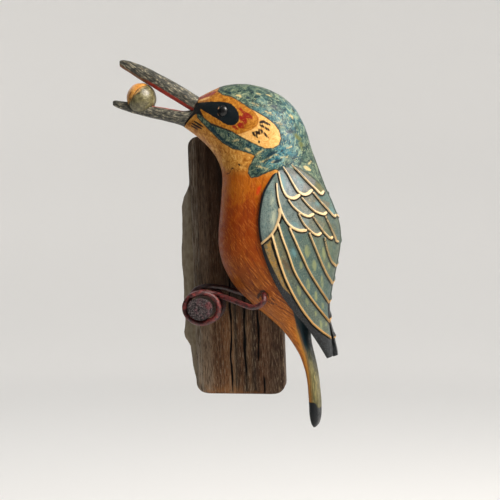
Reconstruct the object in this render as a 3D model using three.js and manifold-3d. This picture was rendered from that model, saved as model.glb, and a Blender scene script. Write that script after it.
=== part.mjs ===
// A painted, carved kingfisher that hangs on a wall with its board.
// It holds a nut in its open beak, and two wire legs hold it to a peg in the board.
// Millimetres. X runs along the wall to the right, -Y points away from the wall, +Z is up.
// The origin is the middle of the board's flat back.
import * as THREE from "three";
import { mergeVertices } from "three/addons/utils/BufferGeometryUtils.js";
import Module from "manifold-3d";

const wasm = await Module();
wasm.setup();

const CLEARANCE = 0.3; // gap kept between pieces that touch
const SIDES = { near: 1, far: -1 }; // the bird's side towards the viewer, and the one towards the wall

// Board
const BOARD_THICK = 22;
const BOARD_TOP = 92.8;
const BOARD_BOTTOM = -94.2;
const BOARD_HALF_WIDTH = 32.4;
const BOARD_LEAN = 0.036; // its foot hangs a little to the right of its head
const BOARD_CORNER = 8; // radius of the four rounded corners, seen from the front
const BOARD_EDGE_ROUND = 2; // rounding of the front edges
// The natural left edge flares out behind the front face: height, and how far it reaches there.
const WANEY_EDGE = [
  [60, 0],
  [56, 3],
  [49, 6.1],
  [42, 7.8],
  [26, 8.8],
  [10, 9.8],
  [-12, 9.1],
  [-42, 9.1],
  [-51, 10],
  [-55, 9.2],
  [-61, 5.9],
  [-75, 4.2],
  [-81, 2.8],
  [-85, 0],
];
// The section of that edge from the back to the front: shares of its reach and of the board's thickness.
const WANEY_SECTION = [
  [1, 0],
  [1, 0.12],
  [0.72, 0.45],
  [0.25, 0.8],
];
const GROOVES = [-20, -4, 8, 21]; // where the deeper cracks run down the front face
const GROOVE_DEPTH = 1;
const GROOVE_HALF_WIDTH = 1.2;

// Peg
const PEG_CENTRE = [-19.9, -29.1];
const PEG_RADII = [9, 7.9];
const PEG_END = 76; // distance of its free end from the wall
const PEG_HOLE_DEPTH = 14;
const PEG_END_ROUND = 1.6;
const PEG_SIDES = 20;
const PEG_WOBBLE = 0.015; // share by which its outline swells and shrinks

// Bird. Its sections are drawn in its own upright plane, in which X and Z are as on the board.
// That plane stands off the wall and is turned a little, so that the beak is nearer to the wall than the tail.
const BIRD_PIVOT = [16.8, -54]; // X and Y of the upright line that the bird is turned about
const BIRD_SHIFT = -3.8; // X from the drawing to the board
const BIRD_TURN = THREE.MathUtils.degToRad(-7);

// Each station of the body is a section through it, from the root of the beak to the tail's end:
// the place of its front edge, the place of its back edge, its half width from side to side,
// how square the section is (2 is an ellipse), and how far its sides bow towards the tail.
const BIRD_MIDDLE = -55; // the plane that halves the bird, before it is turned
const BODY_STATIONS = [
  { front: [-31.0, 98.2], back: [-20.0, 118.0], half: 8.2, square: 2, bow: 3 },
  { front: [-25.5, 94.2], back: [-12.5, 121.6], half: 12.6, square: 2, bow: 2 },
  { front: [-19.0, 89.3], back: [0, 126.2], half: 17, square: 2, bow: 1 },
  { front: [-12.5, 83.2], back: [16, 126.8], half: 20.3, square: 2.05, bow: 0 },
  { front: [-6.8, 76.0], back: [33, 121.7], half: 22.3, square: 2.1, bow: 0 },
  { front: [-3.2, 68.0], back: [47, 111.5], half: 23.2, square: 2.1, bow: 0 },
  { front: [-2.4, 60.0], back: [55.2, 97.5], half: 24, square: 2.1, bow: 0 },
  { front: [-3.2, 51.0], back: [59.8, 83.0], half: 25.2, square: 2.15, bow: 0 },
  { front: [-4.6, 38.0], back: [65.5, 64.5], half: 27, square: 2.15, bow: 0 },
  { front: [-5.8, 23.0], back: [72.5, 46.0], half: 28.3, square: 2.15, bow: 0 },
  { front: [-5.2, 9.0], back: [77.0, 28.0], half: 28.5, square: 2.15, bow: 0 },
  { front: [-1.2, -3.0], back: [77.0, 9.0], half: 27.5, square: 2.15, bow: 0 },
  { front: [6.5, -15.0], back: [73.5, -9.0], half: 25, square: 2.1, bow: 0 },
  { front: [18.6, -25.3], back: [68.5, -22.5], half: 21.3, square: 2.1, bow: 0 },
  { front: [30.8, -35.2], back: [63.0, -33.0], half: 17.5, square: 2.2, bow: 0 },
  { front: [41.6, -44.6], back: [59.8, -43.5], half: 14.5, square: 2.4, bow: 0 },
  { front: [49.6, -55.0], back: [60.4, -54.2], half: 12.6, square: 2.7, bow: 0 },
  { front: [54.8, -65.0], back: [62.8, -64.5], half: 11.5, square: 3, bow: 0 },
  { front: [58.2, -77.0], back: [65.2, -77.0], half: 11.2, square: 3, bow: 0 },
  { front: [59.6, -91.0], back: [66.7, -91.0], half: 11.2, square: 3, bow: 0 },
  { front: [60.0, -102.5], back: [67.2, -102.5], half: 11, square: 2.8, bow: 0 },
  { front: [61.2, -108.3], back: [66.3, -108.3], half: 9.6, square: 2.5, bow: 0 },
  { front: [62.6, -110.6], back: [64.8, -110.6], half: 7.4, square: 2.2, bow: 0 },
];
const BODY_RINGS_PER_STATION = 2;
const BODY_SIDES = 20;

// Wings. Each station runs from the leading edge back to the ridge where the two wings meet:
// both places, the half width of the bird over the wings, the angle round the section at which
// the leading edge lies, and how square the section is.
const WING_STATIONS = [
  { lead: [42.0, 69.5], ridge: [61.5, 78.0], half: 24.0, angle: 25, square: 2 },
  { lead: [36.0, 59.0], ridge: [70.0, 55.0], half: 28.5, angle: 0, square: 2 },
  { lead: [31.5, 49.5], ridge: [75.0, 44.0], half: 31.0, angle: -8, square: 2 },
  { lead: [28.8, 33.0], ridge: [80.0, 29.0], half: 31.5, angle: -11, square: 2 },
  { lead: [30.0, 19.0], ridge: [80.4, 15.0], half: 31.5, angle: -11, square: 2 },
  { lead: [34.5, 4.0], ridge: [78.0, 0], half: 30.0, angle: -8, square: 2 },
  { lead: [42.0, -12.5], ridge: [75.2, -15.0], half: 27.0, angle: -3, square: 2.1 },
  { lead: [51.0, -27.0], ridge: [73.6, -27.5], half: 22.0, angle: 0, square: 2.4 },
  { lead: [60.5, -41.0], ridge: [73.6, -38.5], half: 17.0, angle: 0, square: 2.8 },
  { lead: [67.5, -53.0], ridge: [75.0, -51.0], half: 13.0, angle: 0, square: 3.5 },
  { lead: [73.0, -62.5], ridge: [76.3, -61.3], half: 11.0, angle: 0, square: 4 },
];
const WING_GROOVE = 1.2; // half the groove that parts the two wings along the ridge
const WING_DEPTH = 8; // how far a wing's inner face lies inside its outer face
// Where the inner face's two lines lie, as shares of the chord. The second cuts under the leading edge.
const WING_INNER_SHARES = [0.6, 0.06];
const WING_EDGE_ROUND = 1.2;
const WING_EDGE_ROUND_REACH = 2;
const NEAR_WING_GRID = { rows: 56, columns: 22 };
const FAR_WING_GRID = { rows: 24, columns: 12 };

// Feather rims on a wing, seen from the side: the line that each raised rim follows, from its
// root to its end. The feather lies on the left-hand side of the line as it runs.
const FEATHER_RIMS = {
  first_row: [
    [[41.8, 64], [44.2, 55], [50, 46.5], [56.4, 48]],
    [[44, 67.5], [51, 57.5], [59, 49], [63.5, 51.8]],
    [[49.3, 68.7], [58, 59.6], [67.7, 49.4], [70.4, 52]],
  ],
  second_row: [
    [[41.4, 55.4], [44, 40.8], [52.7, 26.6], [61.2, 24.6]],
    [[49.7, 44.5], [55, 38.4], [61, 34.2], [65.4, 35.6]],
    [[57.8, 46], [64, 39.6], [69.6, 35.7], [73.4, 36.4]],
    [[64.7, 49], [70.5, 41.7], [76.7, 34.4], [78, 35.6]],
  ],
  third_row: [
    [[56.4, 34.8], [60.7, 27.8], [66.3, 21.4], [70.5, 23.2]],
    [[65.5, 32.8], [69.6, 25.7], [75.5, 19], [77, 20.7]],
    [[73, 33.5], [76, 25.7], [79.3, 17], [80, 19]],
  ],
  shoulder: [[[43.8, 38.7], [42.2, 31.4], [38.7, 24.8], [32, 16.2]].reverse()],
  long_feathers: [
    [[38.3, 21.5], [44.4, 1.3], [52, -18.5], [62.2, -36], [74.7, -50]],
    [[42.5, 28], [50, 6.5], [60, -13.8], [73.2, -38.8]],
    [[50.7, 25], [58.8, 7], [66.3, -9.5], [73.2, -26.8]],
    [[63, 22.8], [69.9, 5.6], [75.3, -13.4]],
    [[72.7, 19.3], [75.8, 6], [77.7, 0.3]],
  ],
};
const RIM_STEPS = 14;
// The rim itself, and the cut just outside it: height, distance inside the line, and width.
const RIM_RIDGE = { height: 1.2, place: 0.6, width: 1.5 };
const RIM_CUT = { height: -0.7, place: -2.2, width: 1.3 };

// Beak: the lower edge, the upper edge and the half width of each mandible, from the head outwards.
const UPPER_MANDIBLE = [
  { under: [-21.0, 106.6], over: [-15.3, 116.2], half: 6.9 },
  { under: [-29.5, 111.5], over: [-23.8, 121.2], half: 6.7 },
  { under: [-40.5, 118.2], over: [-34.2, 127.6], half: 6.1 },
  { under: [-51.5, 124.8], over: [-46.2, 134.2], half: 5.3 },
  { under: [-62.3, 131.3], over: [-58.3, 140.4], half: 4.3 },
  { under: [-70.0, 136.3], over: [-68.0, 144.2], half: 3.3 },
  { under: [-75.3, 140.2], over: [-74.6, 145.5], half: 2.4 },
  { under: [-77.6, 142.4], over: [-77.6, 144.8], half: 1.4 },
];
const LOWER_MANDIBLE = [
  { under: [-25.5, 95.5], over: [-20.0, 110.5], half: 6.7 },
  { under: [-33.0, 98.9], over: [-29.5, 109.0], half: 6.5 },
  { under: [-41.6, 101.4], over: [-40.0, 110.6], half: 6.0 },
  { under: [-57.1, 105.0], over: [-55.0, 113.2], half: 4.9 },
  { under: [-69.0, 108.3], over: [-68.0, 115.6], half: 3.9 },
  { under: [-76.8, 111.0], over: [-76.4, 116.6], half: 3.1 },
  { under: [-81.0, 113.2], over: [-81.0, 117.2], half: 2.2 },
  { under: [-82.6, 114.6], over: [-82.6, 116.4], half: 1.2 },
];
const BEAK_SIDES = 10;
const BEAK_RINGS = 11;
const BEAK_SQUARE = 2.4;

// Nut
const NUT_CENTRE = [-61.6, BIRD_MIDDLE, 118.4];
const NUT_RADII = [10.4, 10.2, 11];
const NUT_TILT = -0.35; // leans towards the upper mandible
const NUT_GRID = [14, 10];

// Eyes
const EYE_PLACE = [2.6, 107];
const EYE_OUT = 19.6; // from the bird's middle to the centre of the bead
const EYE_RADII = [3.3, 2.4, 3.8];
const EYE_GRID = [12, 7];

// Leg wires
const WIRE_RADIUS = 1.85;
const WIRE_SIDES = 8;
const WIRE_STEPS = 40;
const LEG_HOLE_DEPTH = 7;
const LEG_HOLE_RISE = 2.3;
// Each wire's ring round the peg: its centre's X and Z, its radii, and its Y where the wire meets the peg.
const RINGS = {
  near: { centre: [-19.1, -28.5], radii: [12, 10.6], start: -68 },
  far: { centre: [-19.3, -27.5], radii: [12.2, 12.4], start: -42.5 },
};
const RING_ADVANCE = 4.6; // how far the wire moves along the peg in one turn
const RING_TURN = 400; // degrees that the wire goes round the peg
const RING_POINTS = 12;
const LEG_RISE = { near: 0, far: 2.8 }; // how much higher each leg is than the route where it meets its ring
// The leg from the belly to the peg, in the bird's own frame: X, distance out from its middle, and Z.
const LEG_ROUTE = [
  [31.8, 24.0, -19.4],
  [32.5, 26.2, -22.2],
  [29.4, 26.4, -25.7],
  [24.8, 25.4, -27.1],
  [19.8, 23.6, -26.4],
  [12.5, 20.6, -24.0],
  [3.5, 17.0, -21.3],
  [-5.5, 14.0, -18.9],
];

// Shapes shared by the pieces

function geometryFrom(points, triangles) {
  const flat = new Float32Array(points.flatMap((p) => [p.x, p.y, p.z]));
  const geometry = new THREE.BufferGeometry();
  geometry.setAttribute("position", new THREE.BufferAttribute(flat, 3));
  let sixVolumes = 0;
  for (const [a, b, c] of triangles) {
    sixVolumes += points[a].dot(points[b].clone().cross(points[c]));
  }
  const facing = sixVolumes > 0 ? triangles : triangles.map(([a, b, c]) => [a, c, b]);
  geometry.setIndex(facing.flat());
  return geometry;
}

// A closed body through equal rings of points, with a fan of triangles over each end.
function loft(rings) {
  const sides = rings[0].length;
  const points = rings.flat();
  const triangles = [];
  for (let i = 0; i + 1 < rings.length; i++) {
    for (let j = 0; j < sides; j++) {
      const a = i * sides + j;
      const b = i * sides + ((j + 1) % sides);
      triangles.push([a, b, b + sides], [a, b + sides, a + sides]);
    }
  }
  for (const [ring, start] of [
    [rings[0], 0],
    [rings.at(-1), (rings.length - 1) * sides],
  ]) {
    const middle = ring.reduce((sum, p) => sum.add(p), new THREE.Vector3()).divideScalar(sides);
    points.push(middle);
    const hub = points.length - 1;
    for (let j = 0; j < sides; j++) {
      const a = start + j;
      const b = start + ((j + 1) % sides);
      triangles.push(start === 0 ? [b, a, hub] : [a, b, hub]);
    }
  }
  return geometryFrom(points, triangles);
}

function solidFrom(geometry) {
  const bare = new THREE.BufferGeometry();
  bare.setAttribute("position", geometry.getAttribute("position"));
  bare.setIndex(geometry.index);
  const merged = mergeVertices(bare, 1e-4);
  return new wasm.Manifold(
    new wasm.Mesh({
      numProp: 3,
      vertProperties: merged.attributes.position.array,
      triVerts: new Uint32Array(merged.index.array),
    }),
  );
}

function geometryOf(solid) {
  const mesh = solid.getMesh();
  const geometry = new THREE.BufferGeometry();
  geometry.setAttribute("position", new THREE.BufferAttribute(mesh.vertProperties, 3));
  geometry.setIndex(new THREE.BufferAttribute(mesh.triVerts, 1));
  geometry.computeVertexNormals();
  return geometry;
}

// Sine or cosine of a section that is squarer than an ellipse.
function squared(value, square) {
  return Math.sign(value) * Math.abs(value) ** (2 / square);
}

// A smooth curve through the stations, read at a share from 0 to 1 of their count.
function through(stations, read) {
  return new THREE.CatmullRomCurve3(stations.map((s) => new THREE.Vector3(...read(s))), false, "catmullrom", 0.5);
}

// Rings across stations that each have two edges in the side view and a half width.
function sectionRings(stations, lowKey, highKey, ringCount, sides, square, grow = 0) {
  const low = through(stations, (s) => [s[lowKey][0], 0, s[lowKey][1]]);
  const high = through(stations, (s) => [s[highKey][0], 0, s[highKey][1]]);
  const size = through(stations, (s) => [s.half, s.square ?? square, s.bow ?? 0]);
  return Array.from({ length: ringCount }, (_, i) => {
    const share = i / (ringCount - 1);
    const lowPoint = low.getPoint(share);
    const highPoint = high.getPoint(share);
    const { x: half, y: squareness, z: bow } = size.getPoint(share);
    const middle = lowPoint.clone().add(highPoint).multiplyScalar(0.5);
    const reach = highPoint.clone().sub(lowPoint).multiplyScalar(0.5);
    const along = new THREE.Vector3(reach.z, 0, -reach.x).normalize();
    reach.setLength(reach.length() + grow);
    return Array.from({ length: sides }, (_, j) => {
      const angle = (2 * Math.PI * j) / sides;
      const side = squared(Math.sin(angle), squareness);
      const point = middle.clone();
      point.addScaledVector(reach, squared(Math.cos(angle), squareness));
      point.addScaledVector(along, bow * side * side);
      point.y = BIRD_MIDDLE + (half + grow) * side;
      return point;
    });
  });
}

// Body

function bodySolid(grow = 0) {
  const ringCount = (BODY_STATIONS.length - 1) * BODY_RINGS_PER_STATION + 1;
  const rings = sectionRings(BODY_STATIONS, "front", "back", ringCount, BODY_SIDES, 2, grow);
  if (grow > 0) {
    // The flat face under the beak moves out too.
    const [first, second] = rings;
    const step = first[0].clone().sub(second[0]).setLength(grow);
    rings.unshift(first.map((point) => point.clone().add(step)));
  }
  return solidFrom(loft(rings));
}

// Wings

const rimCurves = Object.values(FEATHER_RIMS)
  .flat()
  .map((line) => {
    const curve = new THREE.CatmullRomCurve3(line.map(([x, z]) => new THREE.Vector3(x, 0, z)));
    return curve.getPoints(RIM_STEPS);
  });

// Distance from a side-view place to a rim, positive inside its feather.
function rimDistance(rim, x, z) {
  let nearest = Infinity;
  let inside = 1;
  for (let i = 0; i + 1 < rim.length; i++) {
    const [a, b] = [rim[i], rim[i + 1]];
    const [dx, dz] = [b.x - a.x, b.z - a.z];
    const along = ((x - a.x) * dx + (z - a.z) * dz) / (dx * dx + dz * dz);
    const share = Math.min(1, Math.max(0, along));
    const distance = Math.hypot(x - a.x - share * dx, z - a.z - share * dz);
    if (distance < nearest) {
      nearest = distance;
      inside = Math.sign(dx * (z - a.z) - dz * (x - a.x)) || 1;
    }
  }
  return nearest * inside;
}

function featherRelief(x, z) {
  const distances = rimCurves.map((rim) => rimDistance(rim, x, z));
  const bump = ({ place, width }) =>
    Math.max(...distances.map((distance) => Math.exp(-0.5 * ((distance - place) / width) ** 2)));
  const ridge = bump(RIM_RIDGE);
  return RIM_RIDGE.height * ridge + RIM_CUT.height * bump(RIM_CUT) * (1 - ridge);
}

function wingSolid({ rows, columns }, side) {
  const lead = through(WING_STATIONS, (s) => [s.lead[0], 0, s.lead[1]]);
  const ridge = through(WING_STATIONS, (s) => [s.ridge[0], 0, s.ridge[1]]);
  const size = through(WING_STATIONS, (s) => [s.half, THREE.MathUtils.degToRad(s.angle), s.square]);
  const rings = Array.from({ length: rows + 1 }, (_, i) => {
    const share = i / rows;
    const leadPoint = lead.getPoint(share);
    const chord = ridge.getPoint(share).sub(leadPoint);
    const { x: half, y: firstAngle, z: square } = size.getPoint(share);
    const first = squared(Math.sin(firstAngle), square);
    const ring = [];
    for (let j = 0; j <= columns; j++) {
      const angle = firstAngle + (j / columns) * (Math.PI / 2 - firstAngle);
      const across = (squared(Math.sin(angle), square) - first) / (1 - first);
      const out = WING_GROOVE + (half - WING_GROOVE) * squared(Math.cos(angle), square);
      const place = leadPoint.clone().addScaledVector(chord, across);
      const fromEdge = across * chord.length();
      const relief =
        (featherRelief(place.x, place.z) - WING_EDGE_ROUND * Math.exp(-fromEdge / WING_EDGE_ROUND_REACH)) *
        (j < columns ? 1 : 0);
      place.addScaledVector(chord.clone().normalize(), relief * Math.sin(angle));
      place.y = BIRD_MIDDLE - side * (out + relief * Math.cos(angle));
      ring.push(place);
    }
    for (const across of WING_INNER_SHARES) {
      const place = leadPoint.clone().addScaledVector(chord, across);
      const inner = Math.max(WING_GROOVE, half * Math.sqrt(1 - across ** 2) - WING_DEPTH);
      place.y = BIRD_MIDDLE - side * inner;
      ring.push(place);
    }
    return ring;
  });
  return solidFrom(loft(rings));
}

// Beak and nut

function beakSolid(grow = 0) {
  const mandible = (stations) =>
    solidFrom(loft(sectionRings(stations, "under", "over", BEAK_RINGS, BEAK_SIDES, BEAK_SQUARE, grow)));
  return mandible(UPPER_MANDIBLE).add(mandible(LOWER_MANDIBLE));
}

function ellipsoid(radii, place, tilt, grid) {
  const geometry = new THREE.SphereGeometry(1, ...grid);
  geometry.deleteAttribute("normal");
  geometry.deleteAttribute("uv");
  geometry.scale(...radii);
  geometry.rotateY(tilt);
  geometry.translate(...place);
  return solidFrom(geometry);
}

function eyeSolid(side, grow = 0) {
  const radii = EYE_RADII.map((radius) => radius + grow);
  return ellipsoid(radii, [EYE_PLACE[0], BIRD_MIDDLE - side * EYE_OUT, EYE_PLACE[1]], 0, EYE_GRID);
}

// Leg wires

// From the bird's own frame to the board's.
const birdToBoard = new THREE.Matrix4()
  .makeTranslation(BIRD_PIVOT[0] + BIRD_SHIFT, BIRD_PIVOT[1], 0)
  .multiply(new THREE.Matrix4().makeRotationZ(BIRD_TURN))
  .multiply(new THREE.Matrix4().makeTranslation(-BIRD_PIVOT[0], -BIRD_PIVOT[1], 0));

function legCurve(leg) {
  const side = SIDES[leg];
  const points = LEG_ROUTE.map(([x, out, z], i) => {
    const share = i / (LEG_ROUTE.length - 1);
    return new THREE.Vector3(x, BIRD_MIDDLE - side * out, z + LEG_RISE[leg] * share);
  });
  const hole = points[0].clone();
  hole.y += side * LEG_HOLE_DEPTH;
  hole.z += LEG_HOLE_RISE;
  points.unshift(hole);
  points.forEach((point) => point.applyMatrix4(birdToBoard));
  const { centre, radii, start } = RINGS[leg];
  for (let i = 0; i < RING_POINTS; i++) {
    const turned = (RING_TURN * i) / (RING_POINTS - 1);
    const angle = THREE.MathUtils.degToRad(90 + turned);
    points.push(
      new THREE.Vector3(
        centre[0] + radii[0] * Math.cos(angle),
        start - (side * RING_ADVANCE * turned) / 360,
        centre[1] + radii[1] * Math.sin(angle),
      ),
    );
  }
  return new THREE.CatmullRomCurve3(points, false, "centripetal");
}

function wireSolid(leg, grow = 0) {
  const section = new THREE.Shape();
  section.absarc(0, 0, WIRE_RADIUS + grow, 0, 2 * Math.PI);
  const geometry = new THREE.ExtrudeGeometry(section, {
    steps: WIRE_STEPS,
    curveSegments: WIRE_SIDES / 2,
    extrudePath: legCurve(leg),
    bevelEnabled: false,
  });
  geometry.deleteAttribute("normal");
  geometry.deleteAttribute("uv");
  return solidFrom(mergeVertices(geometry, 1e-3));
}

// Peg and board

function pegSolid(grow = 0) {
  const ring = (y, shrink) =>
    Array.from({ length: PEG_SIDES }, (_, j) => {
      const angle = (2 * Math.PI * j) / PEG_SIDES;
      const wobble = 1 + PEG_WOBBLE * Math.sin(3 * angle);
      return new THREE.Vector3(
        PEG_CENTRE[0] + (PEG_RADII[0] * wobble - shrink + grow) * Math.cos(angle),
        y,
        PEG_CENTRE[1] + (PEG_RADII[1] * wobble - shrink + grow) * Math.sin(angle),
      );
    });
  const rings = [ring(-BOARD_THICK + PEG_HOLE_DEPTH + grow, 0)];
  for (const angle of [0, 45, 90].map(THREE.MathUtils.degToRad)) {
    rings.push(ring(-PEG_END + PEG_END_ROUND * (1 - Math.sin(angle)), PEG_END_ROUND * (1 - Math.cos(angle))));
  }
  return solidFrom(loft(rings));
}

// How far the natural edge flares out at a height.
function waneyReach(z) {
  for (let i = 0; i + 1 < WANEY_EDGE.length; i++) {
    const [high, highReach] = WANEY_EDGE[i];
    const [low, lowReach] = WANEY_EDGE[i + 1];
    if (z <= high && z >= low) {
      return THREE.MathUtils.mapLinear(z, low, high, lowReach, highReach);
    }
  }
  return 0;
}

function boardRing(z) {
  const fromEnd = Math.min(BOARD_TOP - z, z - BOARD_BOTTOM);
  const cut = fromEnd < BOARD_CORNER ? BOARD_CORNER - Math.sqrt(BOARD_CORNER ** 2 - (BOARD_CORNER - fromEnd) ** 2) : 0;
  const shift = -BOARD_LEAN * z;
  const left = shift - BOARD_HALF_WIDTH + cut;
  const right = shift + BOARD_HALF_WIDTH - cut;
  const front = -BOARD_THICK;
  const flare = waneyReach(z);
  const ring = WANEY_SECTION.map(([reach, thick]) => [left - flare * reach, front * thick]);
  ring.push([left, front + BOARD_EDGE_ROUND], [left + BOARD_EDGE_ROUND, front]);
  const narrow = (right - left) / (2 * BOARD_HALF_WIDTH);
  for (const x of GROOVES) {
    for (const offset of [-GROOVE_HALF_WIDTH, 0, GROOVE_HALF_WIDTH]) {
      const depth = offset === 0 ? GROOVE_DEPTH : 0;
      ring.push([shift + (x + offset) * narrow, front + depth]);
    }
  }
  ring.push([right - BOARD_EDGE_ROUND, front], [right, front + BOARD_EDGE_ROUND], [right, 0]);
  return ring.map(([x, y]) => new THREE.Vector3(x, y, z));
}

function boardSolid() {
  const cornerHeights = [0, 30, 60].map((angle) => BOARD_CORNER * (1 - Math.cos(THREE.MathUtils.degToRad(angle))));
  const levels = [
    ...cornerHeights.map((height) => BOARD_BOTTOM + height),
    ...WANEY_EDGE.map(([z]) => z),
    BOARD_TOP - BOARD_CORNER,
    ...cornerHeights.map((height) => BOARD_TOP - height),
  ];
  levels.sort((a, b) => a - b);
  return solidFrom(loft(levels.map(boardRing)));
}

// Pieces

const boardToBird = birdToBoard.clone().invert();

function carvedBird() {
  let bird = bodySolid()
    .add(wingSolid(NEAR_WING_GRID, SIDES.near))
    .add(wingSolid(FAR_WING_GRID, SIDES.far));
  for (const [leg, side] of Object.entries(SIDES)) {
    const grownWire = geometryOf(wireSolid(leg, CLEARANCE)).applyMatrix4(boardToBird);
    bird = bird.subtract(eyeSolid(side, CLEARANCE)).subtract(solidFrom(grownWire));
  }
  return bird;
}

const board = boardSolid().subtract(pegSolid(CLEARANCE));
const beak = beakSolid().subtract(bodySolid(CLEARANCE));
const nut = ellipsoid(NUT_RADII, NUT_CENTRE, NUT_TILT, NUT_GRID).subtract(beakSolid(CLEARANCE));

function piece(name, geometry, color, roughness) {
  const mesh = new THREE.Mesh(geometry, new THREE.MeshStandardMaterial({ color, roughness, metalness: 0 }));
  mesh.name = name;
  return mesh;
}

const group = new THREE.Group();
group.name = "kingfisher_on_board";
group.add(piece("backboard", geometryOf(board), 0x5c4633, 0.9));
group.add(piece("perch_peg", geometryOf(pegSolid()), 0x6a5f60, 0.85));

const turnedBird = new THREE.Group();
turnedBird.name = "kingfisher";
turnedBird.applyMatrix4(birdToBoard);
turnedBird.add(piece("carved_bird", geometryOf(carvedBird()), 0xb9763a, 0.55));
turnedBird.add(piece("beak", geometryOf(beak), 0x6e6e64, 0.6));
turnedBird.add(piece("nut", geometryOf(nut), 0xae8248, 0.35));
group.add(turnedBird);

for (const [name, side] of Object.entries(SIDES)) {
  turnedBird.add(piece(`eye_${name}`, geometryOf(eyeSolid(side)), 0x0a0a0c, 0.08));
  group.add(piece(`leg_wire_${name}`, geometryOf(wireSolid(name)), 0x70302f, 0.5));
}

export default group;
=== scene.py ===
# A painted, carved kingfisher on a wall board: the looks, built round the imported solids.
# Sizes are in millimetres unless a name says otherwise, and are turned to metres when a mesh is made.
# The bird is drawn in its own upright plane, as in the part's source, then turned and shifted to the board.
import math

import bpy
import numpy as np
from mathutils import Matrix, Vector, noise


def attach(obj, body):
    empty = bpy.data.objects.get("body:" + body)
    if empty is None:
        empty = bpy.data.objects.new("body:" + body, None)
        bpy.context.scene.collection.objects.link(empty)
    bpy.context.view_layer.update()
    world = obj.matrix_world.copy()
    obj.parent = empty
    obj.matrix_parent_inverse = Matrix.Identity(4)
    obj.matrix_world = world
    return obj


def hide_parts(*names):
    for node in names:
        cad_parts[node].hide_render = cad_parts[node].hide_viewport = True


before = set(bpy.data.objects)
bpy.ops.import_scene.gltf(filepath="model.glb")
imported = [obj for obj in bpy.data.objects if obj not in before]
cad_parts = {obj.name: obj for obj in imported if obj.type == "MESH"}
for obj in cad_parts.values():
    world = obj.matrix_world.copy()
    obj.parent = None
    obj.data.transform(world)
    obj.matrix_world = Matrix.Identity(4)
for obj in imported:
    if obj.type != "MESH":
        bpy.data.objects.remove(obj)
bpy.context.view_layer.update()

MM = 0.001
FINE = 1.0  # share of the full mesh resolution
# Rows and columns of points at full resolution.
MESH_SIZES = {
    "body": (280, 180),
    "near wing": (290, 140),
    "far wing": (140, 72),
    "beak": (170, 72),
    "nut": (128, 72),
    "board": (300, 150),
    "peg": (70, 150),
}
WIRE_ROWS = 520
WIRE_SIDES = 28
DENSE_LINE = 3000

# Board
BOARD_THICK = 22
BOARD_TOP = 92.8
BOARD_BOTTOM = -94.2
BOARD_HALF_WIDTH = 32.4
BOARD_LEAN = 0.036
BOARD_CORNER = 8
BOARD_EDGE_ROUND = 2
WANEY_EDGE = [
    (60, 0), (56, 3), (49, 6.1), (42, 7.8), (26, 8.8), (10, 9.8), (-12, 9.1), (-42, 9.1), (-51, 10),
    (-55, 9.2), (-61, 5.9), (-75, 4.2), (-81, 2.8), (-85, 0),
]
WANEY_SECTION = [(1, 0), (1, 0.12), (0.72, 0.45), (0.25, 0.8)]
# Cracks down the front face: place across, depth, half width, lowest and highest point.
CRACKS = [
    (-28.7, 1.4, 0.5, -96, -86),
    (-17.5, 0.5, 0.5, -80, 60),
    (-5.7, 2.2, 0.55, -98, 90),
    (-1.4, 0.7, 0.45, -98, -50),
    (4.5, 2.0, 0.7, -84, 80),
    (14.2, 2.0, 0.65, -74, 95),
    (17.4, 2.2, 0.55, -98, -78),
    (22.5, 0.6, 0.4, -90, -10),
    (28.2, 1.2, 0.6, -88, -82),
]
CRACK_SWAY = 1.1
FRONT_GRAIN = 0.34
FRONT_WAVES = 0.4
SIDE_GRAIN = 0.28
BARK_LUMPS = 0.8
END_LUMPS = 0.35
BOARD_END_ROUND = 1.1
BOARD_SIDE_POINTS = 16
BOARD_TURN_POINTS = 5
BOARD_BARK_POINTS = 33
BOARD_BACK_POINTS = 24

# Peg
PEG_CENTRE = (-19.9, -29.1)
PEG_RADII = (9.0, 7.9)
PEG_END = 76
PEG_HOLE_DEPTH = 14
PEG_END_ROUND = 1.6
PEG_END_RINGS = 7
PEG_ROUGH = 0.45
PEG_WOBBLE = 0.015

# Bird: its turned plane, and the sections of its body from the beak's root to the tail's end.
BIRD_PIVOT = (16.8, -54.0)
BIRD_SHIFT = -3.8
BIRD_TURN = math.radians(-7)
BIRD_MIDDLE = -55.0
# Front edge X and Z, back edge X and Z, half width, squareness, bow.
BODY_STATIONS = np.array([
    (-31, 98.2, -20, 118, 8.2, 2, 3),
    (-25.5, 94.2, -12.5, 121.6, 12.6, 2, 2),
    (-19, 89.3, 0, 126.2, 17, 2, 1),
    (-12.5, 83.2, 16, 126.8, 20.3, 2.05, 0),
    (-6.8, 76, 33, 121.7, 22.3, 2.1, 0),
    (-3.2, 68, 47, 111.5, 23.2, 2.1, 0),
    (-2.1, 60, 55.2, 97.5, 24, 2.1, 0),
    (-2.5, 51, 59.8, 83, 25.2, 2.15, 0),
    (-3.6, 38, 65.5, 64.5, 27, 2.15, 0),
    (-4.7, 23, 72.5, 46, 28.3, 2.15, 0),
    (-4, 9.2, 77, 28, 28.5, 2.15, 0),
    (0, -2.7, 77, 9, 27.5, 2.15, 0),
    (7.4, -14.5, 73.5, -9, 25, 2.1, 0),
    (18.6, -25.3, 68.5, -22.5, 21.3, 2.1, 0),
    (30.8, -35.2, 63, -33, 17.5, 2.2, 0),
    (41.6, -44.6, 59.8, -43.5, 14.5, 2.4, 0),
    (49.6, -55, 60.4, -54.2, 12.6, 2.7, 0),
    (54.8, -65, 62.8, -64.5, 11.5, 3, 0),
    (58.2, -77, 65.2, -77, 11.2, 3, 0),
    (59.6, -91, 66.7, -91, 11.2, 3, 0),
    (60, -102.5, 67.2, -102.5, 11, 2.8, 0),
    (61.2, -108.3, 66.3, -108.3, 9.6, 2.5, 0),
    (62.6, -110.6, 64.8, -110.6, 7.4, 2.2, 0),
])

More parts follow.
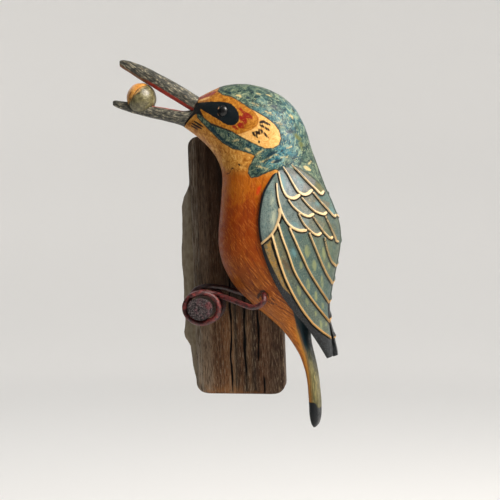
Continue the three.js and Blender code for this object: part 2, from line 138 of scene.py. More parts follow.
# Wings: leading edge X and Z, ridge X and Z, half width, first angle, squareness.
WING_STATIONS = np.array([
    (42, 69.5, 61.5, 78, 24, 25, 2),
    (36, 59, 70, 55, 28.5, 0, 2),
    (31.5, 49.5, 75, 44, 31, -8, 2),
    (28.8, 33, 80, 29, 31.5, -11, 2),
    (30, 19, 80.4, 15, 31.5, -11, 2),
    (33.8, 4, 77.8, 0, 30, -8, 2),
    (40.8, -12.8, 74.7, -15, 27, -3, 2.1),
    (49.5, -27.4, 72.7, -27.5, 22, 0, 2.4),
    (60, -41, 73.3, -38.5, 17, 0, 2.8),
    (67.5, -53, 75, -51, 13, 0, 3.5),
    (73, -62.5, 76.3, -61.3, 11, 0, 4),
])
WING_GROOVE = 1.2
FAR_TIP_SHIFT = 2.2
FAR_TIP_START = -38
FAR_TIP_BLEND = 20
WING_DEPTH = 8
WING_INNER_SHARES = (0.6, 0.06)
WING_INNER_ROWS = 8
WING_EDGE_ROUND = 1.2
WING_EDGE_ROUND_REACH = 2
WING_RELIEF_START = 0.3
WING_RELIEF_FADE = 7
WING_LENGTH = 140
WING_DENSE = 400
# Feathers are drawn as seen from a little behind: what is round the back moves right by a share of its depth.
SIGHT_SLOPE = 0.21
SIGHT_START = 0.85

# Feathers: the line that each raised rim follows, from root to end.
RIMS = {
    "first a": [(41.7, 64.7), (43.6, 58.1), (45.5, 52.5), (48.1, 48), (51.4, 46.2), (54.7, 46.3), (57, 48.3)],
    "first b": [
        (44.2, 68.2), (48.3, 62.6), (52.6, 55.2), (55.8, 50.7), (59.3, 48.7), (62.5, 49.5), (64.3, 51.8),
    ],
    "first c": [
        (49.7, 69.3), (54.9, 64.5), (61.1, 57.7), (66.3, 52.3), (69.1, 49.4), (70.2, 49.6), (70.6, 51.4),
    ],
    "second a": [
        (41.1, 56.7), (42.6, 46.3), (45.4, 36.4), (49.3, 29.3), (53.7, 25.7), (58, 24.2), (61.2, 24.5),
    ],
    "second b": [(49.6, 45.4), (52.8, 40.9), (57.1, 36.9), (60.5, 34.6), (63.4, 34), (65.9, 35.5)],
    "second c": [(58.1, 46.8), (62.1, 41.9), (66.3, 37.8), (70.3, 35.8), (72.6, 35.6), (73.7, 36.8)],
    "second d": [(64.8, 50.5), (70, 43.7), (74.1, 38.7), (76.9, 34.9), (77.9, 34), (78.5, 35.6)],
    "third a": [(56.2, 36), (59.7, 29.2), (63.6, 24.7), (66.9, 21.9), (69.3, 21.5), (70.7, 22.8)],
    "third b": [(65.6, 33.7), (69, 28.3), (72.6, 22.9), (75.2, 19.8), (76.8, 19), (77.5, 20.3)],
    "third c": [(72.8, 34.6), (76.1, 26.5), (78.3, 20.4), (79, 17.4), (79.8, 16.8)],
    "shoulder": [(32, 16), (38.9, 21.8), (42.9, 28.6), (45.2, 37), (44.6, 39.8)],
    "long a": [
        (38.2, 22.9), (40.4, 15.1), (42.2, 8.4), (44.6, 0.1), (46.8, -6.6), (49.4, -12.9), (52.3, -19.4),
        (57.6, -29.2), (65.3, -39.9), (74.9, -49.8),
    ],
    "long b": [(42.6, 29.3), (45.4, 20.3), (49.3, 9.5), (53.4, -3.2), (62.5, -19.7), (73.5, -38.8)],
    "long c": [(50.3, 26.4), (53.8, 18.5), (58, 8.5), (62, -1.5), (73.2, -26)],
    "long d": [(63, 22.9), (66.4, 13.9), (72.5, -3.6), (75.6, -12.9)],
    "long e": [(72.4, 19.7), (74.1, 11), (76.1, 3.6), (77.8, 0)],
}
# Width of each rim at its root and end.
RIM_WIDTHS = {
    "first a": (1, 2.5), "first b": (1, 2.3), "first c": (1, 1.9), "second a": (1, 2.2),
    "second b": (1, 2.1), "second c": (1, 2), "second d": (1, 1.6), "third a": (1, 2), "third b": (1, 1.9),
    "third c": (1, 1.6), "shoulder": (1.3, 2), "long a": (1.4, 1.3), "long b": (1.3, 1.3),
    "long c": (1.3, 1.3), "long d": (1.3, 1.4), "long e": (1.1, 1.4),
}
RIM_STEPS = 16
RIM_END_START = 0.93
RIM_END_REACH = 0.07
RIM_END_NARROWING = 0.25
RIM_HEIGHT = 0.6
RIM_SLOPE = 0.55
FEATHER_STEP = 0.75
FEATHER_STEP_REACH = 4.5
FEATHER_STEP_FADE = 1.2
CUT_DEPTH = 0.7
CUT_WIDTH = 0.9
CUT_SLOPE = 0.6
FAR_AWAY = 50.0

# Beak: under edge X and Z, over edge X and Z, half width.
UPPER_MANDIBLE = np.array([
    (-21, 106.6, -15.3, 116.2, 6.9),
    (-29.5, 111.5, -23.8, 121.2, 6.7),
    (-40.5, 118.2, -34.2, 127.6, 6.1),
    (-51.5, 124.8, -46.2, 134.2, 5.3),
    (-62.3, 131.3, -58.3, 140.4, 4.3),
    (-70, 136.3, -68, 144.2, 3.3),
    (-74.9, 139.4, -74.4, 145.7, 2.6),
    (-77.3, 141, -77.3, 145.4, 2),
])
LOWER_MANDIBLE = np.array([
    (-25.5, 95.5, -20, 110.5, 6.7),
    (-33, 98.9, -29.5, 109, 6.5),
    (-41.6, 101.4, -40, 110.6, 6),
    (-57.1, 105, -55, 113.2, 4.9),
    (-69, 108.3, -68, 115.6, 3.9),
    (-76.8, 111, -76.4, 116.6, 3.1),
    (-80.6, 112.6, -80.6, 117.3, 2.3),
    (-82.4, 113.6, -82.4, 117, 1.7),
])
BEAK_SQUARE = 2.4

NUT_CENTRE = (-61.6, BIRD_MIDDLE, 118.4)
NUT_RADII = (10.4, 10.2, 11.0)
NUT_TILT = -0.35

EYE_PLACE = (2.6, 107.0)
EYE_OUT = 19.6
EYE_RADII = (3.3, 2.4, 3.8)

WIRE_RADIUS = 1.85
WIRE_LUMPS = 0.16
WIRE_LUMP_SCALE = 0.28
LEG_HOLE_DEPTH = 7
LEG_HOLE_RISE = 2.3
RINGS = {
    "near": {"centre": (-19.1, -28.5), "radii": (12.0, 10.6), "start": -68.0},
    "far": {"centre": (-19.3, -27.5), "radii": (12.2, 12.4), "start": -42.5},
}
RING_ADVANCE = 4.6
RING_TURN = 400
RING_POINTS = 12
LEG_RISE = {"near": 0.0, "far": 2.8}
LEG_ROUTE = [
    (31.8, 24, -19.4), (32.5, 26.2, -22.2), (29.4, 26.4, -25.7), (24.8, 25.4, -27.1), (19.8, 23.6, -26.4),
    (12.5, 20.6, -24), (3.5, 17, -21.3), (-5.5, 14, -18.9),
]
SIDES = {"near": 1, "far": -1}
CLEARANCE = 0.3
SOCKET_CLEARANCE = 0.25
SMOOTH_ANGLE = 40

# Painted areas, as lines in the bird's side view.
CROWN_EDGE = [
    (-3.3, 121.4), (0.9, 118.6), (7.6, 117), (13.6, 113.6), (20.8, 108.9), (27.7, 105.1), (33.9, 101.3),
    (38.6, 97.3), (41.7, 93), (43.1, 87.8), (42.1, 83.5), (38.2, 81), (32.5, 80.7),
]
MALAR_TOP = [
    (28.4, 82.4), (22.9, 84.9), (15.8, 88.7), (9, 92.6), (0, 96), (-7.2, 98.8), (-11.8, 102.4),
    (-18.4, 108.2),
]
MALAR_BOTTOM = [
    (-17.6, 103.6), (-11.6, 97.6), (-5.6, 92), (1.7, 85.4), (9.1, 81.3), (15.8, 79.6), (21.5, 77.8),
    (25.8, 76.1),
]
COLLAR_EDGE = [
    (23.6, 72), (21.4, 68), (21, 64.3), (23.2, 61), (28.4, 61.9), (34.2, 64.6), (39.2, 66.6), (43, 66),
]
UNDER_WING = [(46, 40), (50, 0), (50.5, -24)]
TAIL_EDGE = [
    (52, -34.6), (53.2, -41), (54.8, -47.5), (56.6, -54), (58.6, -60), (60.4, -68.5), (61.7, -77.6),
    (62.6, -92), (62.8, -116),
]
FACE_FRONT = [(-24, 111), (-24, 126), (-4.6, 132)]
BACK_BOX = [(95, -116), (95, 140), (-3.3, 140)]
CHEEK = [
    (20.8, 109.6), (25.1, 105), (27.4, 101.3), (26.8, 97.3), (22.7, 93.9), (15.8, 91.4), (12, 90.6),
    (16, 86), (28, 79), (40, 78), (46, 88), (41, 99), (30, 107),
]
BROW = [(-18.9, 114.6), (-16, 117), (-12, 118), (-8.6, 117.4), (-10.4, 116), (-14, 115)]
EYE_PATCH = [
    (-19.4, 113.4), (-12.7, 113.9), (-4, 113.8), (5.2, 112.7), (10.9, 109.3), (14, 103.9), (13.7, 99.8),
    (10.7, 97.1), (5.7, 97.4), (0.1, 100.4), (-5.7, 103.8), (-11.8, 107.3), (-17.4, 110.6),
]
RED_MARKS = [
    [
        (11.1, 110.1), (14.4, 108.3), (14.9, 109.6), (16.3, 107.2), (19.2, 105.7), (21.4, 104.6),
        (23.8, 101.8), (22.9, 100.7), (20, 101.2), (17.2, 101.9), (15.5, 103), (17.1, 104), (15.4, 106.1),
        (12.6, 109),
    ],
    [(14.4, 103.8), (16.4, 102.8), (19.4, 101.4), (19.6, 98), (18.4, 97.3), (17.1, 99.1), (14.5, 100.9)],
    [(13.2, 98), (15.1, 98.8), (16.8, 97.7), (18.3, 95), (16.6, 94.7), (14, 95.1), (13, 96.7)],
    [(8.9, 96.5), (11.1, 96.8), (13, 95.2), (13.3, 93.7), (10.8, 94.5)],
    [(-19.5, 117.6), (-6.5, 121.6), (-6.2, 119.2), (-18.8, 115.8)],
]
TAIL_TIP = [(50, -92.6), (60, -92.6), (65.1, -93.2), (67.3, -98), (80, -102), (80, -120), (50, -120)]
WING_TIP = [
    (40.6, -4.2), (42.7, -8.3), (45.6, -13.5), (49, -16.8), (52.4, -20.6), (57.8, -30), (65.6, -40.4),
    (75.1, -50.4), (82, -56), (82, -75), (38, -75), (36, -4),
]
WING_TOP = [
    (38, 66), (42.1, 68.9), (45.3, 69.9), (49.8, 69.7), (54.8, 67.6), (60.4, 64.2), (64.6, 60.4), (68.7, 56),
    (72.6, 49.4), (76, 43), (80.5, 38.5), (88, 34),
]
# Where the beak's grey paint ends on the head, and the black that fills the corner of the mouth.
JOINT_AREA = [
    (-22.2, 124), (-20.9, 119.4), (-19.6, 114.5), (-18.8, 109.4), (-19.9, 106.7), (-24.9, 102.8),
    (-30.6, 97.9), (-33, 90), (-50, 90), (-50, 124),
]
MOUTH_CORNER = [
    (-21.5, 110.4), (-13.6, 112.4), (-15.4, 108.4), (-12.2, 103.4), (-17.2, 105.8), (-20.6, 105.6),
]
# Short brush strokes in the side view, and those on the wings: two ends and half the width.
BRUSH_STROKES = {
    "cream_strokes": [
        ((29.6, 71.6), (33.4, 73), 0.5), ((33.4, 73), (37.6, 75.6), 0.45), ((27, 68.7), (31, 68), 0.6),
        ((31, 68), (34.6, 66.8), 0.5), ((26.2, 76.4), (29.2, 79), 0.55), ((36.6, 77.2), (41.6, 76.4), 0.4),
        ((43, 74.6), (47.6, 75.2), 0.4), ((58.2, 68.6), (61.6, 66.4), 1.1), ((60.6, 70.6), (61.6, 72.8), 0.6),
        ((46, 80.6), (50, 82.2), 0.35), ((37, 71.6), (39.6, 72.2), 0.8), ((11.2, 118), (14.6, 116.9), 0.75),
        ((30.8, 118.6), (34.4, 117), 0.45), ((31.6, 106.6), (36.4, 104.2), 0.6),
        ((47.6, 104.6), (49.4, 101.6), 0.7), ((39.6, 98.6), (43, 97.6), 0.6),
        ((22.4, 112.4), (26.8, 110.2), 0.5), ((24, 119.6), (27.4, 118.4), 0.35),
        ((9.6, 86.2), (14.2, 86.8), 0.6), ((18.8, 81), (22, 79.4), 0.8), ((26.8, 77), (31.2, 79.8), 0.6),
    ],
    "dark_strokes": [
        ((5.6, 120.2), (6.4, 119.2), 1.1), ((18.2, 116.2), (20.6, 115.6), 0.9),
        ((14.4, 86.9), (15.2, 86.3), 0.8), ((19.8, 83.6), (20.8, 82.6), 1.2), ((6, 90.6), (7.2, 90), 1.2),
        ((36, 110.6), (38.6, 108.4), 1.1), ((46.4, 92.6), (49.6, 92), 1.2),
        ((33.6, 112.6), (34.6, 112.2), 0.9), ((26, 66.3), (29, 65.7), 0.9), ((33.4, 75.4), (40.6, 78.6), 1.1),
        ((38.6, 71), (44, 73.4), 1.1), ((54.6, 104.6), (56.4, 99), 0.6), ((26.2, 80.9), (26.8, 80.1), 1.1),
        ((-7.4, 96.8), (-2.6, 91.6), 1.3), ((-3.6, 92.6), (2.8, 86.6), 1.2), ((1.6, 87.6), (10.4, 82.2), 1),
        ((7.6, 83.6), (15.6, 80.4), 0.7),
    ],
    "yellow_strokes": [((50.2, 92), (55, 86.8), 1.3), ((53.8, 88.6), (56.6, 80), 1.1)],
    "red_strokes": [((35.6, 54.6), (37, 59.4), 0.9), ((27.6, 50), (29.6, 55.6), 0.9)],
    "ticks": [
        ((28.5, 98.7), (31.6, 99.4), 0.95), ((30.6, 99.3), (35.6, 96.8), 0.7),
        ((28.8, 96.9), (31.8, 95.3), 0.75), ((31.2, 95.6), (35.6, 92.9), 0.65),
        ((28.1, 94.1), (31.3, 91.9), 0.65), ((30.8, 92.3), (34.6, 87.9), 0.65),
        ((25.3, 92.4), (29.3, 90.8), 0.9), ((23.1, 91.9), (27.2, 88.3), 0.7),
        ((27.7, 86), (28.8, 84.9), 0.75), ((-22.4, 99.6), (-14.3, 95.3), 0.6),
        ((-20.4, 100.9), (-13.2, 96.8), 0.6), ((-23, 98), (-18, 95.2), 0.45),
        ((-7.6, 98.4), (9.4, 92.6), 0.45),
    ],
    "chips": [
        ((13.2, 70.6), (15.4, 69.4), 0.75), ((8, 67.9), (10, 67.5), 0.6), ((3.6, 64), (6.8, 64.6), 0.45),
        ((6.8, 64.6), (8, 67.9), 0.22), ((15.6, 69.8), (21, 68.6), 0.2), ((-0.8, 85.2), (-0.4, 77.1), 0.12),
        ((-0.4, 77.1), (0.8, 73), 0.1), ((27.4, -20), (29.4, -17.6), 0.9),
        ((29.4, -17.4), (33.4, -16.8), 0.8), ((34, -17.4), (34.9, -20.6), 0.6),
        ((36.2, -24), (37.8, -25.4), 0.6), ((24.6, -14.2), (25, -14), 0.5),
        ((26.6, -21.4), (27.6, -17.8), 0.9), ((28.6, -16.4), (32.4, -15.8), 0.7),
        ((36.4, -20.6), (39, -23), 0.6), ((38.4, -24.4), (40.4, -25.2), 0.5),
        ((33.6, -22.6), (35.6, -25), 0.5), ((29.4, -12.6), (30.2, -12.2), 0.45),
    ],
}
WING_STROKES = {
    "wing_spots": [
        ((61.8, 14.6), (62.2, 7.8), 1.9), ((66, 4.6), (66.4, -1.4), 1.6), ((57.8, 4), (57.9, -0.2), 1.2),
        ((71.9, 13.6), (72.3, 5.6), 1.3), ((74.7, 3.2), (74.8, -0.8), 0.9), ((61.9, -8), (62.3, -14), 1.4),
        ((70.4, -6), (70.6, -13.8), 0.9), ((66.6, -16.6), (66.8, -22.2), 1),
        ((55.7, -12.6), (56.6, -18.6), 1.2), ((60.7, -21), (61.4, -25), 0.9),
        ((70.4, -24.4), (70.5, -28), 0.9), ((66.1, -29.9), (66.4, -32.6), 0.7),
        ((69.4, -36.4), (69.9, -41.8), 0.9), ((72.4, -37.6), (72.5, -40.2), 0.7),
        ((49.8, -0.6), (50.1, -2.8), 1.1),
    ],
    "feather_blues": [
        ((44.4, 62), (46.6, 54), 1.3), ((53, 30.4), (55.6, 28.8), 0.9), ((67.2, 44.4), (68.6, 42.6), 0.8),
        ((52.8, 12.2), (53.8, 8.2), 1.3), ((54.4, 61.8), (58, 57.2), 0.7), ((75.4, 40), (76.6, 37.6), 0.8),
    ],
    "panel_stripe": [
        ((38.2, 17.2), (40.2, 10.4), 0.7), ((40, 11.4), (42.2, 5), 0.75), ((41.8, 6), (44.2, -1.2), 0.8),
        ((43.8, 0), (46.1, -6.9), 0.75), ((45.7, -5.6), (48.6, -14.6), 0.6),
    ],
    "panel_brown": [((46.4, 4.8), (52.9, -4.4), 1.9), ((48.6, 12), (49.6, 6), 0.9)],
}


def linear(red, green, blue):
    """An sRGB colour of 0 to 255 as the shader's linear colour."""
    return tuple(
        ((c / 255 + 0.055) / 1.055) ** 2.4 if c > 10 else c / 255 / 12.92 for c in (red, green, blue)
    ) + (1.0,)


# Curves and sections

def through(rows, shares, centripetal=False):
    """A smooth curve through the rows, read at shares from 0 to 1 of their count."""
    rows = np.asarray(rows, float)
    padded = np.vstack([2 * rows[0] - rows[1], rows, 2 * rows[-1] - rows[-2]])
    place = np.clip(np.asarray(shares, float), 0, 1) * (len(rows) - 1)
    first = np.minimum(place.astype(int), len(rows) - 2)
    t = (place - first)[:, None]
    a, b, c, d = (padded[first + k] for k in range(4))
    if centripetal:
        ab, bc, cd = (
            np.maximum(np.linalg.norm(q - p, axis=1)[:, None], 1e-6) ** 0.5
            for p, q in ((a, b), (b, c), (c, d))
        )
        start = ((b - a) / ab - (c - a) / (ab + bc) + (c - b) / bc) * bc
        end = ((c - b) / bc - (d - b) / (bc + cd) + (d - c) / cd) * bc
    else:
        start, end = (c - a) / 2, (d - b) / 2
    return (2 * b - 2 * c + start + end) * t**3 + (3 * c - 3 * b - 2 * start - end) * t**2 + start * t + b


def mesh_size(name, fine=1.0):
    return (int(count * FINE * fine) for count in MESH_SIZES[name])


def circle(count):
    """Angles once round."""
    return np.linspace(0, 2 * np.pi, count, endpoint=False)


def run_along(points):
    """Length along a line of points, at each of them."""
    return np.concatenate([[0], np.cumsum(np.linalg.norm(np.diff(points, axis=0), axis=1))])


def across_rings(values, sides):
    """One value per ring, repeated at every point of the ring."""
    return np.repeat(values[:, None], sides, 1)


def squared(value, square):
    """Sine or cosine of a section that is squarer than an ellipse."""
    return np.sign(value) * np.abs(value) ** (2 / square)


def section_rings(stations, shares, sides, square=None, grow=0.0):
    """Rings across stations, with the place round each ring and along the row of stations."""
    rows = through(stations, shares)
    low, high, half = rows[:, 0:2], rows[:, 2:4], rows[:, 4]
    square = rows[:, 5] if square is None else np.full(len(rows), square)
    bow = rows[:, 6] if rows.shape[1] > 6 else np.zeros(len(rows))
    middle, reach = (low + high) / 2, (high - low) / 2
    length = np.linalg.norm(reach, axis=1)
    along = np.stack([reach[:, 1], -reach[:, 0]], 1) / length[:, None]
    reach = reach * (1 + grow / length)[:, None]
    angle = circle(sides)[None, :]
    side = squared(np.sin(angle), square[:, None])
    out = squared(np.cos(angle), square[:, None])
    points = np.empty((len(rows), sides, 3))
    for axis, column in ((0, 0), (2, 1)):
        points[:, :, axis] = (
            middle[:, column, None] + reach[:, column, None] * out
            + along[:, column, None] * bow[:, None] * side**2
        )
    points[:, :, 1] = BIRD_MIDDLE + (half[:, None] + grow) * side
    return points


def even_shares(stations, count, weights=None):
    """Shares along the stations, evenly spaced in length or closer together where weights are high."""
    dense = np.linspace(0, 1, 2000)
    rows = through(stations, dense)
    middle = (rows[:, 0:2] + rows[:, 2:4]) / 2
    step = np.linalg.norm(np.diff(middle, axis=0), axis=1) + 0.02
    if weights is not None:
        step = step * weights((middle[1:] + middle[:-1]) / 2)
    run = np.concatenate([[0], np.cumsum(step)])
    return np.interp(np.linspace(0, run[-1], count), run, dense)


# Meshes

def ring_faces(rings, sides, closed=True):
    """Quads between equal rings of points."""
    row = np.arange(rings - 1)[:, None] * sides
    col = np.arange(sides if closed else sides - 1)[None, :]
    following = (col + 1) % sides
    corners = [row + col, row + following, row + sides + following, row + sides + col]
    return np.stack(corners, -1).reshape(-1, 4)


def turn_at_pivot(points, angle, before=0.0, after=0.0):
    """Points turned about the bird's upright pivot, with a shift taken off before or added after."""
    x, y = points[:, 0] - BIRD_PIVOT[0] - before, points[:, 1] - BIRD_PIVOT[1]
    cos, sin = math.cos(angle), math.sin(angle)
    turned = x * cos - y * sin + BIRD_PIVOT[0] + after, x * sin + y * cos + BIRD_PIVOT[1], points[:, 2]
    return np.stack(turned, 1)


def to_board(points):
    """From the bird's own plane to the board."""
    return turn_at_pivot(points, BIRD_TURN, after=BIRD_SHIFT)


def to_bird(points):
    """From the board to the bird's own plane."""
    return turn_at_pivot(points, -BIRD_TURN, before=BIRD_SHIFT)


def add_object(name, data):
    made = bpy.data.objects.new(name, data)
    bpy.context.scene.collection.objects.link(made)
    return made


def make_object(name, points, faces, attributes=None, turned=True, flip=False):
    """A mesh object from points in millimetres. Attributes are numbers or triples per point."""
    points = np.asarray(points, float).reshape(-1, 3)
    placed = (to_board(points) if turned else points) * MM
    faces = [tuple(int(i) for i in (face[::-1] if flip else face)) for face in faces]
    mesh = bpy.data.meshes.new(name)
    mesh.from_pydata(placed.tolist(), [], faces)
    for key, values in (attributes or {}).items():
        set_attribute(mesh, key, values)
    mesh.validate()
    mesh.update()
    return add_object(name, mesh)


def set_attribute(mesh, key, values):
    values = np.asarray(values, np.float32)
    kind = "FLOAT" if values.ndim == 1 else "FLOAT_VECTOR"
    layer = mesh.attributes.get(key) or mesh.attributes.new(key, kind, "POINT")
    layer.data.foreach_set("value" if kind == "FLOAT" else "vector", values.ravel())


def get_attribute(mesh, key):
    values = np.zeros(len(mesh.vertices), np.float32)
    mesh.attributes[key].data.foreach_get("value", values)
    return values


def points_of(mesh):
    flat = np.zeros(len(mesh.vertices) * 3, np.float32)
    mesh.vertices.foreach_get("co", flat)
    return flat.reshape(-1, 3).astype(float) / MM


def loft_object(name, points, attributes=None, turned=True):
    """A closed body through equal rings, with a fan over each end, facing out."""
    rings, sides = points.shape[:2]
    flat = points.reshape(-1, 3)
    ends = [points[0].mean(0), points[-1].mean(0)]
    faces = ring_faces(rings, sides).tolist()
    hub = rings * sides
    last = (rings - 1) * sides
    for j in range(sides):
        following = (j + 1) % sides
        faces.append((following, j, hub))
        faces.append((last + j, last + following, hub + 1))
    every = np.vstack([flat, ends])
    a, b, c = (every[[f[k] for f in faces[: rings * sides]]] for k in range(3))
    inside_out = np.einsum("ij,ij->", a, np.cross(b, c)) < 0
    added = {}
    for key, values in (attributes or {}).items():
        values = np.asarray(values).reshape(rings * sides, -1)
        tail = np.stack([values[:sides].mean(0), values[-sides:].mean(0)])
        values = np.vstack([values, tail])
        added[key] = values[:, 0] if values.shape[1] == 1 else values
    return make_object(name, every, faces, added, turned, flip=inside_out)


def combine(base, other, operation):
    """Joins or cuts two closed bodies and keeps the first."""
    modifier = base.modifiers.new("shape", "BOOLEAN")
    modifier.operation = operation
    modifier.solver = "MANIFOLD"
    modifier.object = other
    graph = bpy.context.evaluated_depsgraph_get()
    mesh = bpy.data.meshes.new_from_object(base.evaluated_get(graph))
    base.modifiers.clear()
    base.data = mesh
    bpy.data.objects.remove(other)
    return base


def paint_piece(piece, *skins):
    """Gives the piece these materials only, by the slots that its faces name."""
    slots = np.zeros(len(piece.data.polygons), np.int32)
    piece.data.polygons.foreach_get("material_index", slots)
    piece.data.materials.clear()
    for skin in skins:
        piece.data.materials.append(skin)
    piece.data.polygons.foreach_set("material_index", np.minimum(slots, len(skins) - 1))


def finish_piece(piece, name, nodes, slot, *skins):
    """Sets the piece's name, paint and shading, and what it stands for."""
    piece.name = piece.data.name = name
    paint_piece(piece, *skins)
    piece.data.shade_smooth()
    piece.data.set_sharp_from_angle(angle=math.radians(SMOOTH_ANGLE))
    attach(piece, "root")
    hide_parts(*nodes)


def fractal(points, scale, octaves=3, seed=0.0):
    """Smooth noise from about -1 to 1 at each point. Scale is in cycles per millimetre along X, Y and Z."""
    scaled = points * np.asarray(scale, float) + seed
    return np.array([noise.fractal(Vector(p), 1.0, 2.0, octaves) for p in scaled])


# Distances in the side view

def to_edge(points, start, edge, shortest=1e-9):
    """Share of the way along an edge that is nearest to each point, and the distance to it."""
    share = np.clip(((points - start) @ edge) / max(edge @ edge, shortest), 0, 1)
    gap = points - start - share[:, None] * edge
    return share, np.hypot(gap[:, 0], gap[:, 1])


def outline_distance(points, outline):
    """Signed distance of X, Z places to a closed outline, negative inside."""
    outline = np.asarray(outline, float)
    nearest = np.full(len(points), np.inf)
    inside = np.zeros(len(points), bool)
    for a, b in zip(outline, np.roll(outline, -1, 0)):
        edge = b - a
        nearest = np.minimum(nearest, to_edge(points, a, edge)[1])
        crosses = (a[1] > points[:, 1]) != (b[1] > points[:, 1])
        height = b[1] - a[1] if b[1] != a[1] else 1e-9
        inside ^= crosses & (points[:, 0] < a[0] + (points[:, 1] - a[1]) * edge[0] / height)
    return np.where(inside, -nearest, nearest)


def line_distance(points, line):
    """Distance to an open line, share of the way along it, side (left positive) and length past its ends."""
    count, last = len(points), len(line) - 2
    nearest, along, side, beyond = np.full(count, np.inf), np.zeros(count), np.ones(count), np.zeros(count)
    for i in range(last + 1):
        a, edge = line[i], line[i + 1] - line[i]
        share, distance = to_edge(points, a, edge)
        closer = distance < nearest
        nearest = np.where(closer, distance, nearest)
        along = np.where(closer, (i + share) / (last + 1), along)
        turn = edge[0] * (points[:, 1] - a[1]) - edge[1] * (points[:, 0] - a[0])
        side = np.where(closer, np.where(turn >= 0, 1.0, -1.0), side)
        raw = ((points - a) @ edge) / (edge @ edge)
        length = math.sqrt(edge @ edge)
        past = np.zeros(count)
        if i == 0:
            past = np.maximum(past, -raw * length)
        if i == last:
            past = np.maximum(past, (raw - 1) * length)
        beyond = np.where(closer, past, beyond)
    return nearest, along, side, beyond


def stroke_distance(points, strokes):
    """Distance of X, Z places to the edge of the nearest of a few short brush strokes, negative inside it."""
    nearest = np.full(len(points), np.inf)
    for start, end, half in strokes:
        share, distance = to_edge(points, np.array(start), np.array(end) - np.array(start), 1e-6)
        nearest = np.minimum(nearest, distance - half * (0.5 + 0.5 * np.sin(np.pi * share)))
    return nearest


def offset_line(line, distances):
    """The line moved to its left by a distance at each of its points."""
    run = np.gradient(line, axis=0)
    left = np.stack([-run[:, 1], run[:, 0]], 1) / np.linalg.norm(run, axis=1)[:, None]
    return line + left * distances[:, None]


def wing_face(rows, columns, side=1):
    """Even rows of points over the wing's plain outer face: X, distance from the bird's middle, and Z."""
    stations = through(WING_STATIONS, np.linspace(0, 1, rows))
    if side < 0:
        shift = FAR_TIP_SHIFT * np.clip((FAR_TIP_START - stations[:, 3]) / FAR_TIP_BLEND, 0, 1)
        stations[:, 0:3:2] += shift[:, None]
    lead, chord = stations[:, 0:2], stations[:, 2:4] - stations[:, 0:2]
    half, first_angle, square = stations[:, 4], np.radians(stations[:, 5]), stations[:, 6]
    length = np.linalg.norm(chord, axis=1)
    angle = first_angle[:, None] + np.linspace(0, 1, WING_DENSE)[None, :] * (np.pi / 2 - first_angle[:, None])
    first = squared(np.sin(first_angle), square)
    across = (squared(np.sin(angle), square[:, None]) - first[:, None]) / (1 - first[:, None])
    out = WING_GROOVE + (half[:, None] - WING_GROOVE) * squared(np.cos(angle), square[:, None])
    step = np.hypot(np.diff(across * length[:, None], axis=1), np.diff(out, axis=1))
    run = np.concatenate([np.zeros((rows, 1)), np.cumsum(step, axis=1)], 1)
    wanted = run[:, -1, None] * np.linspace(0, 1, columns)[None, :]
    share, depth, tilt = (
        np.array([np.interp(w, r, v) for w, r, v in zip(wanted, run, values)])
        for values in (across, out, angle)
    )
    x, z = (lead[:, k, None] + chord[:, k, None] * share for k in (0, 1))
    return {
        "lead": lead,
        "chord": chord,
        "length": length,
        "half": half,
        "outer": np.stack([x, depth, z], -1),
        "tilt": tilt,
        "from_lead": share * length[:, None],
        "from_ridge": run[:, -1, None] - wanted,
        "behind": SIGHT_SLOPE * np.maximum(0, SIGHT_START * half[:, None] - depth),
    }


PLAIN_WING = wing_face(150, 100)


def on_wing(line):
    """The line's places on the wing, moved right where they lie round the back."""
    line = np.asarray(line, float)
    flat = PLAIN_WING["outer"][:, :, [0, 2]].reshape(-1, 2)
    nearest = [np.argmin(np.hypot(*(flat - place).T)) for place in line]
    return line + np.outer(PLAIN_WING["behind"].ravel()[nearest], (1, 0))


def rim_lines():
    """Each rim's name, its line on the wing and its width along the line."""
    shares = np.linspace(0, 1, RIM_STEPS + 1)
    made = []
    for name, line in RIMS.items():
        root_width, end_width = RIM_WIDTHS[name]
        widths = root_width + (end_width - root_width) * shares**1.5
        if not name.startswith("long"):
            narrower = 1 - RIM_END_NARROWING * (shares - RIM_END_START) / RIM_END_REACH
            widths = widths * np.where(shares > RIM_END_START, narrower, 1)
        made.append((name, through(on_wing(line), shares, centripetal=True), widths))
    return made


def feather_fields(places):
    """For X, Z places on a wing: distance to the raised rims, to the cuts outside them, and the relief."""
    bead = np.full(len(places), FAR_AWAY)
    cut = np.full(len(places), FAR_AWAY)
    relief = np.zeros(len(places))
    for _, line, widths in rim_lines():
        distance, along, _, _ = line_distance(places, offset_line(line, widths / 2))
        width = np.interp(along, np.linspace(0, 1, len(widths)), widths)
        bead = np.minimum(bead, distance - width / 2)
        outside = offset_line(line, np.full(len(line), -CUT_WIDTH / 2))
        cut = np.minimum(cut, line_distance(places, outside)[0] - CUT_WIDTH / 2)
        distance, _, side, beyond = line_distance(places, line)
        fade = np.exp(-beyond / FEATHER_STEP_FADE)
        step = np.where(side > 0, FEATHER_STEP * np.exp(-distance / FEATHER_STEP_REACH), 0) * fade
        relief = np.where(np.abs(step) > np.abs(relief), step, relief)
    raised = RIM_HEIGHT * np.clip(0.5 - bead / RIM_SLOPE, 0, 1) ** 0.7
    sunk = CUT_DEPTH * np.clip(0.35 - cut / CUT_SLOPE, 0, 1)
    return bead, cut, relief + raised - sunk * (raised < 0.05)


# The bird

